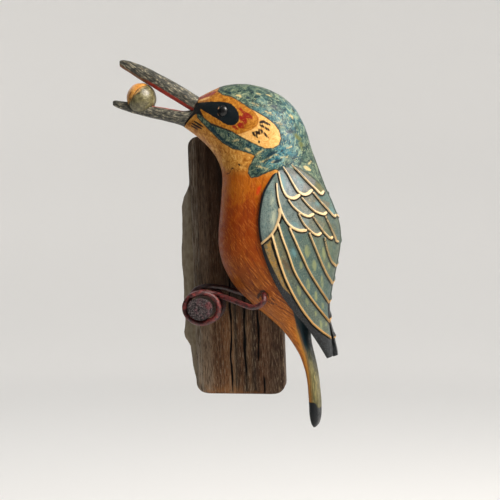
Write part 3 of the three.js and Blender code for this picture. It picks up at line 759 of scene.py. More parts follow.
def body_object(name, fine, grow=0.0):
    """The body's closed skin, finer on the painted head."""
    count, sides = mesh_size("body", fine)

    def weights(middle):
        return np.where(middle[:, 1] > 60, 2.2, np.where(middle[:, 1] > -30, 1.0, 0.8))

    points = section_rings(BODY_STATIONS, even_shares(BODY_STATIONS, count, weights), sides, grow=grow)
    if grow:
        step = points[0][0] - points[1][0]
        points = np.concatenate([[points[0] + step / np.linalg.norm(step) * grow], points])
    # 1 at the back edge, 0 at the front edge.
    fold = np.abs(np.linspace(0, 1, sides, endpoint=False) - 0.5) * 2
    girth = np.linalg.norm(np.diff(points, axis=1), axis=2).sum(1)
    return loft_object(name, points, {
        "along": across_rings(run_along(points.mean(1)), sides),
        "round": girth[:, None] * fold[None, :] / 2,
        "known": np.ones((len(points), sides)),
    })


def wing_object(name, side, rows, columns):
    """One wing, with its feathers raised on the outer face."""
    face = wing_face(rows, columns, side)
    lead, chord, half, outer, tilt = (face[key] for key in ("lead", "chord", "half", "outer", "tilt"))
    places = outer[:, :, [0, 2]].reshape(-1, 2) + np.outer(face["behind"], (1, 0))
    relief = feather_fields(places)[2].reshape(rows, columns)
    relief = relief * np.clip((face["from_ridge"] - WING_RELIEF_START) / WING_RELIEF_FADE, 0, 1)
    relief = relief - WING_EDGE_ROUND * np.exp(-face["from_lead"] / WING_EDGE_ROUND_REACH)
    relief[:, -1] = 0
    direction = chord / face["length"][:, None]
    for axis, column in ((0, 0), (2, 1)):
        outer[:, :, axis] += direction[:, column, None] * relief * np.sin(tilt)
    outer[:, :, 1] = BIRD_MIDDLE - side * (outer[:, :, 1] + relief * np.cos(tilt))
    inner = []
    for share in np.linspace(*WING_INNER_SHARES, WING_INNER_ROWS):
        depth = np.maximum(WING_GROOVE, half * math.sqrt(1 - share**2) - WING_DEPTH)
        place = lead + chord * share
        inner.append(np.stack([place[:, 0], BIRD_MIDDLE - side * depth, place[:, 1]], 1))
    points = np.concatenate([outer, np.stack(inner, 1)], 1)
    total = points.shape[1]
    from_lead, from_ridge, behind = (
        np.pad(face[key], ((0, 0), (0, total - columns))) for key in ("from_lead", "from_ridge", "behind")
    )
    return loft_object(name, points, {
        "along": across_rings(np.linspace(0, WING_LENGTH, rows), total),
        "round": from_lead,
        "known": np.ones((rows, total)),
        "lead": from_lead,
        "ridge": from_ridge,
        "behind": behind,
    })


def ellipsoid_object(name, radii, centre, tilt, columns, rows):
    """An egg-shaped body with upright radii, tipped in the side view."""
    around = circle(columns)
    up = np.linspace(-np.pi / 2, np.pi / 2, rows + 2)[1:-1]
    x = radii[0] * np.cos(up)[:, None] * np.cos(around)[None, :]
    y = radii[1] * np.cos(up)[:, None] * np.sin(around)[None, :]
    z = radii[2] * across_rings(np.sin(up), columns)
    turned_x = x * math.cos(tilt) + z * math.sin(tilt)
    turned_z = -x * math.sin(tilt) + z * math.cos(tilt)
    return loft_object(name, np.stack([turned_x, y, turned_z], -1) + np.array(centre))


def eye_centre(side):
    return EYE_PLACE[0], BIRD_MIDDLE - side * EYE_OUT, EYE_PLACE[1]


def leg_points(leg, count):
    """Even points along the leg's wire, from inside the belly to the ring's end, and the length at each."""
    side = SIDES[leg]
    route = [
        (x, BIRD_MIDDLE - side * out, z + LEG_RISE[leg] * i / (len(LEG_ROUTE) - 1))
        for i, (x, out, z) in enumerate(LEG_ROUTE)
    ]
    x, y, z = route[0]
    route.insert(0, (x, y + side * LEG_HOLE_DEPTH, z + LEG_HOLE_RISE))
    route = to_board(np.array(route)).tolist()
    ring = RINGS[leg]
    for i in range(RING_POINTS):
        turned = RING_TURN * i / (RING_POINTS - 1)
        angle = math.radians(90 + turned)
        route.append((
            ring["centre"][0] + ring["radii"][0] * math.cos(angle),
            ring["start"] - side * RING_ADVANCE * turned / 360,
            ring["centre"][1] + ring["radii"][1] * math.sin(angle),
        ))
    dense = through(route, np.linspace(0, 1, DENSE_LINE), centripetal=True)
    run = run_along(dense)
    wanted = np.linspace(0, run[-1], count)
    return np.stack([np.interp(wanted, run, dense[:, k]) for k in range(3)], 1), wanted


def wire_object(name, leg, count, sides, grow=0.0, lumps=0.0):
    """A thick wire along the leg's route, with rounded ends and lumpy paint."""
    middle, run = leg_points(leg, count)
    along = np.gradient(middle, axis=0)
    along /= np.linalg.norm(along, axis=1)[:, None]
    normal = np.cross(along[0], (0, 1, 0.2))
    normal /= np.linalg.norm(normal)
    angle = circle(sides)[:, None]
    rings = []
    for i in range(count):
        normal = normal - along[i] * (normal @ along[i])
        normal /= np.linalg.norm(normal)
        from_end = min(run[i], run[-1] - run[i])
        radius = WIRE_RADIUS + grow
        if not grow and from_end < radius:
            radius *= math.sqrt(max(0.02, 1 - (1 - from_end / radius) ** 2))
        ring = middle[i] + radius * (np.cos(angle) * normal + np.sin(angle) * np.cross(along[i], normal))
        if lumps:
            swell = fractal(ring, (WIRE_LUMP_SCALE,) * 3, seed=SIDES[leg] * 7.3)
            ring = ring + (ring - middle[i]) / radius * (lumps * swell)[:, None]
        rings.append(ring)
    return loft_object(name, np.array(rings), {"along": across_rings(run, sides)}, turned=False)


def hand_carve(piece, amount, scale, seed):
    """Slight unevenness of hand carving, along each point's normal."""
    mesh = piece.data
    normals = np.zeros(len(mesh.vertices) * 3, np.float32)
    mesh.vertex_normals.foreach_get("vector", normals)
    normals = normals.reshape(-1, 3)
    points = points_of(mesh)
    moved = points + normals * (amount * fractal(points, (scale,) * 3, 2, seed))[:, None]
    mesh.vertices.foreach_set("co", (moved * MM).astype(np.float32).ravel())
    mesh.update()


def build_bird():
    bird = body_object("bird body", 1.0)
    near = wing_object("bird near wing", SIDES["near"], *mesh_size("near wing"))
    far = wing_object("bird far wing", SIDES["far"], *mesh_size("far wing"))
    skins = body_paint(), wing_paint()
    for piece, index in ((bird, 0), (near, 1), (far, 1)):
        paint_piece(piece, *skins)
        faces = piece.data.polygons
        faces.foreach_set("material_index", np.full(len(faces), index, np.int32))
    hand_carve(bird, amount=0.22, scale=0.07, seed=3.1)
    combine(bird, near, "UNION")
    combine(bird, far, "UNION")
    for leg, side in SIDES.items():
        radii = [radius + SOCKET_CLEARANCE for radius in EYE_RADII]
        combine(bird, ellipsoid_object("socket", radii, eye_centre(side), 0, 32, 16), "DIFFERENCE")
        combine(bird, wire_object("hole", leg, 120, 16, grow=CLEARANCE), "DIFFERENCE")
    paint_fields(bird.data)
    finish_piece(bird, "carved_bird_painted", ["carved_bird"], "painted_bird", *skins)


def closed(line, steps=6):
    """A closed outline with rounded corners through its points."""
    rows = np.asarray(line, float)
    wrapped = np.vstack([rows[-2:], rows, rows[:2]])
    first, last = 2 / (len(wrapped) - 1), (len(rows) + 2) / (len(wrapped) - 1)
    return through(wrapped, np.linspace(first, last, len(rows) * steps + 1)[:-1])


WHOLLY_KNOWN = 0.99  # points on a seam between two skins have less


def paint_fields(mesh):
    """Where each point lies against the painted areas, for the brushwork in the materials."""
    known = get_attribute(mesh, "known")
    if (known < WHOLLY_KNOWN).any():
        repair(mesh, known)
    points = to_bird(points_of(mesh))
    places = points[:, [0, 2]]
    wing_places = places + np.outer(get_attribute(mesh, "behind"), (1, 0))
    areas = {
        "green": [CROWN_EDGE + MALAR_TOP + MALAR_BOTTOM + COLLAR_EDGE + UNDER_WING + TAIL_EDGE + BACK_BOX],
        "face": [CROWN_EDGE + MALAR_TOP + FACE_FRONT],
        "cheek": [closed(CHEEK), closed(BROW)],
        "eye_patch": [closed(EYE_PATCH)],
        "red": [closed(mark) for mark in RED_MARKS],
        "joint": [JOINT_AREA],
        "mouth_corner": [MOUTH_CORNER],
        "tip": [TAIL_TIP],
    }
    bead, cut, _ = feather_fields(wing_places)
    top, _, side, _ = line_distance(wing_places, through(on_wing(WING_TOP), np.linspace(0, 1, 40)))
    fields = {
        "place": np.stack([points[:, 0], points[:, 2], BIRD_MIDDLE - points[:, 1]], 1),
        "wing_tip": outline_distance(wing_places, on_wing(WING_TIP)),
        "bead": bead,
        "cut": cut,
        "mantle": -top * side,
        "tint": feather_tints(wing_places),
    }
    for name, outlines in areas.items():
        fields[name] = np.min([outline_distance(places, outline) for outline in outlines], 0)
    for name, strokes in BRUSH_STROKES.items():
        fields[name] = stroke_distance(places, strokes)
    for name, strokes in WING_STROKES.items():
        strokes = [(*on_wing([start, end]), half) for start, end, half in strokes]
        fields[name] = stroke_distance(wing_places, strokes)
    for name, values in fields.items():
        set_attribute(mesh, name, values)


def repair(mesh, known):
    """Gives points on a seam the mean of their neighbours' values."""
    edges = np.zeros(len(mesh.edges) * 2, np.int32)
    mesh.edges.foreach_get("vertices", edges)
    a, b = edges.reshape(-1, 2).T
    good = (known >= WHOLLY_KNOWN).astype(float)

    def from_neighbours(values):
        total = np.zeros(len(known))
        np.add.at(total, a, values[b])
        np.add.at(total, b, values[a])
        return total

    weight = from_neighbours(good)
    for key in ("along", "round", "lead", "ridge", "behind"):
        values = get_attribute(mesh, key).astype(float)
        mean = from_neighbours(good * values) / np.maximum(weight, 1)
        set_attribute(mesh, key, np.where((good == 0) & (weight > 0), mean, values))


# Tints of the feathers inside the rims, by name.
FEATHER_TINTS = {
    "first a": (104, 116, 122),
    "first b": (100, 100, 98),
    "first c": (92, 88, 46),
    "second a": (96, 110, 108),
    "second b": (104, 108, 100),
    "second c": (92, 88, 72),
    "second d": (74, 98, 92),
    "third a": (94, 94, 76),
    "third b": (78, 84, 64),
    "third c": (72, 84, 76),
}
WING_BASE = (84, 104, 96)
SHOULDER_TINT = (112, 130, 126)
PANEL_TINT = (160, 121, 50)
LOW_TINT = (56, 74, 68)
# Long feathers lie to the right of their own rim, one over the next.
LONG_TINTS = {"long a": (96, 92, 62), "long b": (58, 80, 73), "long c": (62, 82, 72), "long d": (76, 88, 70)}
LONG_TOP = 36
PANEL_TOP = 30


def feather_tints(places):
    """The wing's base colour at each place, feather by feather, as three linear numbers."""
    tint = np.tile(np.array(linear(*WING_BASE)[:3]), (len(places), 1))

    def lay(mask, colour, amount=1.0):
        share = (np.clip(mask, 0, 1) * amount)[:, None]
        tint[:] = tint * (1 - share) + np.array(linear(*colour)[:3]) * share

    height = places[:, 1]
    lines = {name: line for name, line, _ in rim_lines()}
    signed = {}
    for name, line in lines.items():
        distance, _, side, _ = line_distance(places, line)
        signed[name] = distance * side
    for name, colour in LONG_TINTS.items():
        lay((signed[name] > 0) & (height < LONG_TOP), colour)
    lay(np.clip((2 - height) / 10, 0, 1) * (signed["long a"] > 0), LOW_TINT, 0.7)
    lay((signed["long a"] <= 0) & (height < PANEL_TOP), PANEL_TINT)
    lay((signed["shoulder"] > 0) & (height > 10) & (signed["second a"] < 0.3), SHOULDER_TINT)
    up = np.array([0.35, 1.0]) * 9
    for name, colour in reversed(FEATHER_TINTS.items()):
        outline = np.vstack([lines[name], lines[name][-1] + up * 0.8, lines[name][0] + up * 0.5])
        lay(outline_distance(places, outline) < 0, colour)
    return tint


# Materials

class Value:
    """An output of one of a material's nodes. Each sum with it adds the node that works it out."""

    def __init__(self, nodes, socket):
        self.nodes = nodes
        self.socket = socket

    def __add__(self, other):
        return self.nodes.math("ADD", self, other)

    def __sub__(self, other):
        return self.nodes.math("SUBTRACT", self, other)

    def __mul__(self, other):
        return self.nodes.math("MULTIPLY", self, other)

    def __abs__(self):
        return self.nodes.math("ABSOLUTE", self)


class Nodes:
    """Wires one procedural material."""

    def __init__(self, name, **values):
        self.material = bpy.data.materials.new(name)
        self.material.use_nodes = True
        self.tree = self.material.node_tree
        self.shader = self.tree.nodes["Principled BSDF"]
        self.coat = None
        self.set(**values)

    def set(self, **values):
        for socket, value in values.items():
            self.put(self.shader.inputs[socket.replace("_", " ")], value)
        return self.material

    def put(self, socket, value):
        if isinstance(value, Value):
            self.tree.links.new(value.socket, socket)
        else:
            socket.default_value = value

    def add(self, kind, inputs, output=0, **settings):
        """Adds a node and gives one of its outputs."""
        node = self.tree.nodes.new(kind)
        for key, value in settings.items():
            setattr(node, key, value)
        for key, value in inputs.items():
            self.put(node.inputs[key], value)
        return Value(self, node.outputs[output])

    def field(self, name, output="Fac"):
        return self.add("ShaderNodeAttribute", {}, output, attribute_name=name)

    def axes(self, vector):
        """The vector's three numbers."""
        first = self.add("ShaderNodeSeparateXYZ", {0: vector})
        return [Value(self, output) for output in first.socket.node.outputs]

    def math(self, operation, a, b=0.0):
        return self.add("ShaderNodeMath", {0: a, 1: b}, operation=operation)

    def vector_math(self, operation, a, b, output=0):
        return self.add("ShaderNodeVectorMath", {0: a, 1: b}, output, operation=operation)

    def combine(self, x=0.0, y=0.0, z=0.0):
        return self.add("ShaderNodeCombineXYZ", {0: x, 1: y, 2: z})

    def stretch(self, vector, scale, offset=(0, 0, 0)):
        return self.vector_math("ADD", self.vector_math("MULTIPLY", vector, scale), offset)

    def noise(self, vector, scale=1.0, detail=3.0, rough=0.55, bend=0.0):
        inputs = {"Vector": vector, "Scale": scale, "Detail": detail, "Roughness": rough, "Distortion": bend}
        return self.add("ShaderNodeTexNoise", inputs, "Fac")

    def wobble(self, amount, *settings):
        """Noise to either side of nought."""
        return (self.noise(*settings) - 0.5) * amount

    def ramp(self, value, low, high, bottom=0.0, top=1.0):
        """A smooth step from bottom at low to top at high."""
        inputs = {"Value": value, "From Min": low, "From Max": high, "To Min": bottom, "To Max": top}
        return self.add("ShaderNodeMapRange", inputs, interpolation_type="SMOOTHSTEP", clamp=True)

    def mix(self, share, a, b):
        """A share of colour b over colour a."""
        a, b = (colour if isinstance(colour, Value) else linear(*colour) for colour in (a, b))
        return self.add("ShaderNodeMix", {0: share, 6: a, 7: b}, 2, data_type="RGBA", clamp_factor=True)

    def lay(self, share, colour):
        """Lays a share of the colour over the coat so far."""
        self.coat = self.mix(share, self.coat, colour)

    def blend(self, stops, value):
        """A colour run through the stops, from place to colour."""
        blended = self.add("ShaderNodeValToRGB", {0: value})
        ramp = blended.socket.node.color_ramp
        while len(ramp.elements) < len(stops):
            ramp.elements.new(0.5)
        for element, (place, colour) in zip(ramp.elements, stops.items()):
            element.position = place
            element.color = linear(*colour)
        return blended

    def inside(self, field, soft=0.25, wobble=None):
        """1 inside an area whose signed distance is given, with a brushed edge."""
        distance = self.field(field) if isinstance(field, str) else field
        if wobble is not None:
            distance = distance + wobble
        return self.ramp(distance, soft, -soft)

    def bump(self, height, distance, strength):
        return self.add("ShaderNodeBump", {"Height": height, "Distance": distance, "Strength": strength})


HEAD_MIDDLE = (22.0, 92.0)
NAPE_MIDDLE = (38.0, 96.0)
COLLAR_MIDDLE = (42.0, 76.0)


def mantle_paint(n, place, wobble):
    """The mottled green, blue and cream of crown, nape, collar and back."""
    x, z, out = n.axes(place)
    curls = n.noise(place, 0.2, 3, 0.55, 1.2)
    soft = n.noise(place, 0.1, 2, 0.5, 0.6)
    # Strokes follow the round of the head.
    across, rise = x - HEAD_MIDDLE[0], z - HEAD_MIDDLE[1]
    turn = n.math("ARCTAN2", rise, across) * 9
    reach = n.math("SQRT", across * across + rise * rise)
    round_head = n.combine(turn, reach * 0.95, out * 0.6)
    nape = n.ramp(abs(z - NAPE_MIDDLE[1]), 29, 9) * n.ramp(abs(x - NAPE_MIDDLE[0]), 25, 8)
    collar = n.ramp(abs(z - COLLAR_MIDDLE[1]), 13, 4) * n.ramp(abs(x - COLLAR_MIDDLE[0]), 17, 6)
    greens = {0.36: (24, 42, 40), 0.46: (52, 72, 62), 0.54: (68, 86, 74), 0.66: (106, 118, 94)}
    blues = {0.36: (6, 54, 74), 0.46: (24, 86, 102), 0.54: (48, 98, 104), 0.66: (104, 136, 132)}
    base, blues = n.blend(greens, curls), n.blend(blues, curls)
    blue = n.math("MAXIMUM", nape * 0.7, collar) * n.ramp(soft, 0.3, 0.55)
    base = n.mix(blue, base, blues)
    # Small loose strokes, light and dark.
    light = n.noise(round_head, 0.75, 2, 0.5, 1.6)
    base = n.mix(n.ramp(light, 0.56, 0.66, 0, 0.75), base, (132, 142, 112))
    dark = n.noise(n.stretch(round_head, (0.8, 0.6, 0.8), (11, 3, 7)), 0.9, 2, 0.5, 1.8)
    base = n.mix(n.ramp(dark, 0.57, 0.66, 0, 0.9), base, (14, 36, 42))
    cream = n.inside("cream_strokes", 0.6, wobble) * n.ramp(curls, 0.36, 0.54, 0.4, 1)
    base = n.mix(cream, base, (172, 156, 108))
    base = n.mix(n.inside("dark_strokes", 0.6, wobble), base, (12, 40, 50))
    yellow = n.inside("yellow_strokes", 0.9, wobble) * n.ramp(curls, 0.4, 0.55, 0.25, 0.8)
    return n.mix(yellow, base, (84, 86, 34))


def body_paint():
    n = Nodes("painted carving", Roughness=0.5, Specular_IOR_Level=0.22)
    place = n.field("place", "Vector")
    x, z, out = n.axes(place)
    flat = n.combine(x, z)
    flow = n.combine(n.field("along") * 0.12, n.field("round"), z * 0.02)
    brush = n.noise(flow, 0.9, 4, 0.65, 0.35)
    edge = n.wobble(2.6, place, 0.7, 3, 0.6)
    fine_edge = n.wobble(1.1, place, 1, 3, 0.65)
    # Throat, neck, breast and belly, by height, with long brush marks.
    height = z + ((brush - 0.5) * 30 + n.wobble(60, place, 0.09, 3, 0.6, 0.8))
    n.coat = n.blend({
        0: (150, 86, 18), 0.2: (128, 62, 6), 0.42: (136, 58, 4), 0.6: (126, 48, 1), 0.7: (142, 62, 2),
        0.78: (158, 84, 8),
    }, n.ramp(height, -60, 105))
    low_down = n.ramp(z, 30, -25, 0.4, 0.85)
    down = x * 0.08 - z * 0.11
    over = x * 0.8 + z * 0.6
    slanting = n.combine(down, over, out * 0.6)
    streak = n.ramp(n.noise(slanting, 1, 4, 0.7, 0.5), 0.52, 0.62)
    n.lay(streak * low_down, (192, 116, 44))
    shade = n.ramp(n.noise(n.stretch(flow, (0.9, 0.8, 1), (7, 3, 1)), 1, 4, 0.7, 0.6), 0.52, 0.62)
    n.lay(shade * low_down, (76, 24, 4))
    ochres = {0.36: (132, 78, 20), 0.47: (174, 116, 44), 0.56: (190, 136, 60), 0.68: (214, 168, 92)}
    throat = n.blend(ochres, n.noise(place, 0.3, 5, 0.68, 0.8))
    throat_marks = n.ramp(n.noise(flow, 1.6, 5, 0.75, 0.4), 0.5, 0.64, 0, 0.6)
    throat = n.mix(throat_marks, throat, (134, 80, 22))
    neck_edge = z + x * 0.12 + (brush - 0.5) * 7
    n.lay(n.ramp(neck_edge, 63.5, 70.5), throat)
    neck_line = n.ramp(abs(z - 66.5), 5, 0) * n.ramp(n.noise(place, 0.5, 3, 0.6), 0.46, 0.58)
    n.lay(neck_line * 0.6, (124, 70, 14))
    n.lay(n.inside("red_strokes", 1.2, edge), (176, 44, 8))
    # Face: orange, with a cream cheek, red marks and the black patch round the eye.
    dabs = n.noise(place, 0.32, 4, 0.62, 1.6)
    face = n.blend({0.35: (126, 72, 10), 0.5: (150, 94, 22), 0.66: (178, 122, 44)}, dabs)
    cheek = n.inside("cheek", 0.3, fine_edge)
    pale_cheek = n.blend({0.35: (182, 130, 62), 0.5: (200, 152, 84), 0.66: (214, 174, 108)}, dabs)
    face = n.mix(cheek, face, pale_cheek)
    cheek_line = n.ramp(abs(n.field("cheek") + fine_edge), 0.6, 0)
    face = n.mix(cheek_line * 0.6, face, (138, 78, 18))
    n.lay(n.inside("face", 0.25, fine_edge), face)
    broken = n.ramp(n.noise(n.stretch(place, (0.3, 1, 1.2)), 1.1, 3, 0.65, 0.5), 0.36, 0.46, 0.35, 1)
    n.lay(n.inside("red", 0.5, fine_edge) * broken, (118, 20, 10))
    # Green parts.
    green_edge = n.field("green") + fine_edge
    outline = n.ramp(abs(green_edge), 0.75, 0.1)
    mantle = mantle_paint(n, place, edge)
    tail_share = n.ramp(z, -22, -34)
    down_tail = n.noise(n.stretch(place, (2.4, 0.12, 1)), 0.8, 3, 0.6)
    olive = n.blend({0.35: (52, 50, 28), 0.5: (80, 76, 46), 0.66: (130, 120, 78)}, down_tail)
    tail = n.mix(n.ramp(z + (brush - 0.5) * 10, -50, -76), (8, 28, 34), olive)
    mantle = n.mix(tail_share, mantle, tail)
    blurred = n.ramp(z, -34, -44, 0.2, 1.5)
    ochre = n.ramp(green_edge, 3.2, 0.8) * n.ramp(z, -36, -46, 0, 0.7)
    n.lay(ochre, (150, 106, 40))
    n.lay(n.ramp(green_edge, blurred, blurred * -1), mantle)
    tail_only = n.ramp(z, -38, -50)
    dark_line = outline * n.ramp(n.noise(place, 0.5, 2), 0.3, 0.5, 0.35, 0.95)
    n.lay(dark_line * n.ramp(tail_only, 0, 1, 1, 0.5), (34, 44, 40))
    n.lay(n.inside("eye_patch", 0.22, (dabs - 0.5) * 0.9), (8, 16, 20))
    from_eye = n.vector_math("DISTANCE", flat, (EYE_PLACE[0] - 0.3, EYE_PLACE[1] - 0.3, 0), "Value")
    rim = n.ramp(abs(from_eye - 4.1), 0.5, 0.1) * n.ramp(n.noise(place, 0.55, 3, 0.7), 0.52, 0.6)
    n.lay(rim * n.ramp(x, 2, -0.6), (198, 150, 112))
    n.lay(n.inside(n.field("ticks") - 0.14, 0.3), (32, 20, 12))
    grey = n.blend({0.35: (30, 30, 26), 0.5: (56, 54, 46), 0.66: (94, 88, 70)}, dabs)
    joint = n.field("joint") + (dabs - 0.5) * 1.2
    n.lay(n.ramp(joint, 0.2, -0.2), grey)
    n.lay(n.ramp(abs(joint), 1.3, 0.6), (14, 16, 16))
    n.lay(n.inside("mouth_corner", 0.4, fine_edge), (12, 16, 18))
    chips = n.inside("chips", 0.25, fine_edge)
    n.lay(chips, (58, 34, 18))
    n.lay(n.inside("tip", 0.3, fine_edge), (12, 16, 19))
    # Grime in fine pits and a worn, uneven sheen.
    grime = n.ramp(n.noise(place, 2.6, 3, 0.7), 0.62, 0.8, 0, 0.35)
    n.lay(grime, (70, 44, 24))
    rough = n.ramp(n.noise(place, 0.25, 4, 0.6), 0.3, 0.7, 0.34, 0.58)
    relief = brush * 0.5 + n.noise(place, 1.8, 4, 0.6) * 0.5
    return n.set(Base_Color=n.coat, Roughness=rough, Normal=n.bump(relief, 0.00035, 0.6))


def wing_paint():
    n = Nodes("painted wings", Roughness=0.5, Specular_IOR_Level=0.3)
    place = n.field("place", "Vector")
    x, z, out = n.axes(place)
    fine_edge = n.wobble(0.5, place, 1.3, 2, 0.6)
    edge = n.wobble(2.6, place, 0.7, 3, 0.6)
    lead, ridge = n.field("lead"), n.field("ridge")
    slanted = n.stretch(place, (1, 0.3, 0.6))
    mottle = n.noise(slanted, 0.5, 4, 0.65, 0.4)
    tint = n.field("tint", "Color")
    n.coat = n.mix(n.ramp(mottle, 0.35, 0.65, 0, 0.5), tint, (66, 78, 76))
    speckle = n.noise(place, 1.1, 4, 0.75)
    n.lay(n.ramp(speckle, 0.52, 0.66, 0, 0.6), (124, 130, 114))
    n.lay(n.ramp(speckle, 0.47, 0.34, 0, 0.75), (36, 42, 40))
    n.lay(n.ramp(n.noise(place, 0.2, 3, 0.6, 1), 0.5, 0.66, 0, 0.5), (46, 74, 76))
    # Pale oval spots on the long feathers.
    spot_edge = n.wobble(1.6, place, 0.8, 3, 0.65)
    spot = n.inside("wing_spots", 0.5, spot_edge) * n.ramp(mottle, 0.35, 0.6, 0.35, 0.85)
    n.lay(spot, (112, 118, 82))
    n.lay(n.inside("panel_brown", 1.4, spot_edge) * 0.7, (74, 56, 38))
    # Painted highlight: a light streak down the shoulder. Then light-blue feather edges.
    streak = n.ramp(abs(x - 39.6), 3.2, 0.2) * (n.ramp(z, 20, 34) * n.ramp(z, 56, 42))
    n.lay(streak * n.ramp(mottle, 0.42, 0.56, 0, 0.65), (180, 186, 160))
    n.lay(n.inside("feather_blues", 1.8, edge) * 0.7, (88, 128, 132))
    # The mantle's paint runs over the wing's top and down the ridge.
    over = n.ramp(n.field("mantle") + fine_edge, 0.3, -0.3)
    mantle = mantle_paint(n, place, edge)
    n.lay(over, mantle)
    top_line = n.ramp(abs(n.field("mantle") + fine_edge), 0.8, 0.2)
    n.lay(top_line * n.ramp(ridge, 4, 12, 0, 0.8), (32, 44, 46))
    # Painted shade: a soft dark band beside each cut and near black in it, where shade falls in the groove;
    # then the cream rims over them.
    shade = n.ramp(n.field("cut"), 1.6, -0.2)
    n.lay(shade * 0.55, (44, 48, 44))
    cut = n.ramp(n.field("cut"), 0.25, -0.15) * n.ramp(ridge, 0.4, 2.4)
    n.lay(cut, (24, 26, 26))
    # Black borders and tips.
    width = n.ramp(z, 26, -12, 1.7, 4.4)
    n.lay(n.inside("panel_stripe", 0.3, fine_edge), (20, 22, 22))
    border = n.ramp(lead - (width + fine_edge), 0.5, -0.3)
    black = (19, 21, 24)
    n.lay(border, black)
    far_side = n.ramp(out, 0, -0.5, 0, 6)
    rear = n.ramp(ridge + edge - far_side, 4, 1.6)
    rear = rear * n.ramp(z, -20, -27)
    n.lay(rear, black)
    dusty = n.mix(n.ramp(n.noise(place, 1.4, 4, 0.75), 0.48, 0.66), black, (68, 72, 74))
    n.lay(n.inside("wing_tip", 0.3, fine_edge), dusty)
    cream = n.blend({0: (172, 132, 76), 0.5: (194, 164, 114), 1: (206, 184, 146)}, n.ramp(z, -50, 70))
    cream = n.mix(n.ramp(n.noise(place, 0.9, 3, 0.6), 0.5, 0.75, 0, 0.5), cream, (158, 110, 56))
    bead = n.field("bead") + fine_edge * 0.6
    n.lay(n.ramp(bead, 0.24, -0.1), cream)
    rough = n.ramp(n.noise(place, 0.3, 4, 0.6), 0.3, 0.7, 0.36, 0.6)
    relief = mottle * 0.4 + n.noise(place, 2.2, 4, 0.65) * 0.6
    return n.set(Base_Color=n.coat, Roughness=rough, Normal=n.bump(relief, 0.0004, 0.7))


# Beak and nut

def mandible(name, stations, is_upper, count, sides, grow=0):
    shares = even_shares(stations, count)
    points = section_rings(stations, shares, sides, BEAK_SQUARE, grow)
    rows = through(stations, shares)
    reach = np.linalg.norm(rows[:, 2:4] - rows[:, 0:2], axis=1) / 2
    out = squared(np.cos(circle(sides)), BEAK_SQUARE)
    return loft_object(name, points, {
        "mouth": reach[:, None] * (1 + out if is_upper else 1 - out)[None, :],
        "along": across_rings(run_along(points.mean(1)), sides),
        "upper": np.full((count, sides), float(is_upper)),
    })


def beak_object(name, count, sides, grow=0):
    upper = mandible(name, UPPER_MANDIBLE, True, count, sides, grow)
    lower = mandible("lower mandible", LOWER_MANDIBLE, False, count, sides, grow)
    return combine(upper, lower, "UNION")


def build_beak():
    beak = beak_object("beak", *mesh_size("beak"))
    hand_carve(beak, amount=0.16, scale=0.16, seed=5.7)
    combine(beak, body_object("body for the beak", 0.5, CLEARANCE), "DIFFERENCE")
    set_attribute(beak.data, "place", to_bird(points_of(beak.data)))
    finish_piece(beak, "beak_painted", ["beak"], "painted_beak", beak_paint())


def build_nut():
    nut = ellipsoid_object("nut", NUT_RADII, NUT_CENTRE, NUT_TILT, *mesh_size("nut"))
    hand_carve(nut, amount=0.25, scale=0.12, seed=9.4)
    combine(nut, beak_object("beak for the nut", 60, 36, CLEARANCE), "DIFFERENCE")
    places = to_bird(points_of(nut.data))
    set_attribute(nut.data, "place", places)
    set_attribute(nut.data, "nut_lines", stroke_distance(places[:, [0, 2]], NUT_LINES))
    finish_piece(nut, "nut_painted", ["nut"], "painted_nut", nut_paint())


def build_eyes():
    skin = eye_glass()
    for leg, side in SIDES.items():
        name = "eye_bead_" + leg
        eye = ellipsoid_object(name, EYE_RADII, eye_centre(side), 0, 64, 40)
        finish_piece(eye, name, ["eye_" + leg], "eye_bead", skin)


def build_wires():
    skin = leg_paint()
    for leg in SIDES:
        name = "painted_wire_" + leg
        wire = wire_object(name, leg, int(WIRE_ROWS * FINE), WIRE_SIDES, lumps=WIRE_LUMPS)
        set_attribute(wire.data, "place", points_of(wire.data))
        finish_piece(wire, name, ["leg_wire_" + leg], "leg_paint", skin)


# Peg and board

def peg_object(name, count, sides, grow=0, rough=0):
    """The peg, plain or with a rough side and end."""
    face = -PEG_END
    sweep = np.linspace(0, np.pi / 2, PEG_END_RINGS + 1)[1:]
    along = np.linspace(-BOARD_THICK + PEG_HOLE_DEPTH + grow, face + PEG_END_ROUND, count)
    along = np.concatenate([along, face + PEG_END_ROUND * (1 - np.sin(sweep))])
    shrink = np.concatenate([np.zeros(count), PEG_END_ROUND * (1 - np.cos(sweep))])
    angle = circle(sides)
    wobble = 1 + PEG_WOBBLE * np.sin(3 * angle)
    rings = []
    for y, inset in zip(along, shrink):
        x = PEG_CENTRE[0] + (PEG_RADII[0] * wobble - inset + grow) * np.cos(angle)
        z = PEG_CENTRE[1] + (PEG_RADII[1] * wobble - inset + grow) * np.sin(angle)
        rings.append(np.stack([x, np.full(sides, y), z], 1))
    if not rough:
        return loft_object(name, np.array(rings), turned=False)
    centre = np.array([PEG_CENTRE[0], face, PEG_CENTRE[1]])
    rim = rings[-1]
    rings += [centre + (rim - centre) * share for share in np.linspace(0.94, 0.05, 18)]
    points = np.array(rings)
    flat = points.reshape(-1, 3)
    radial = flat - np.array([PEG_CENTRE[0], 0, PEG_CENTRE[1]])
    radial[:, 1] = 0
    radial /= np.maximum(np.linalg.norm(radial, axis=1), 1e-6)[:, None]
    on_side = np.repeat(np.arange(len(rings)) < count + 4, sides)
    side_noise = fractal(flat, (0.9, 0.06, 0.9), 3, 2.2)
    end_noise = fractal(flat, (0.8, 0.8, 0.8), 4, 6.1)
    flat += radial * (on_side * (side_noise - 0.4) * rough)[:, None]
    flat[:, 1] += np.where(on_side, 0, (end_noise * 0.9 + 0.3) * rough)
    return loft_object(name, flat.reshape(points.shape), turned=False)


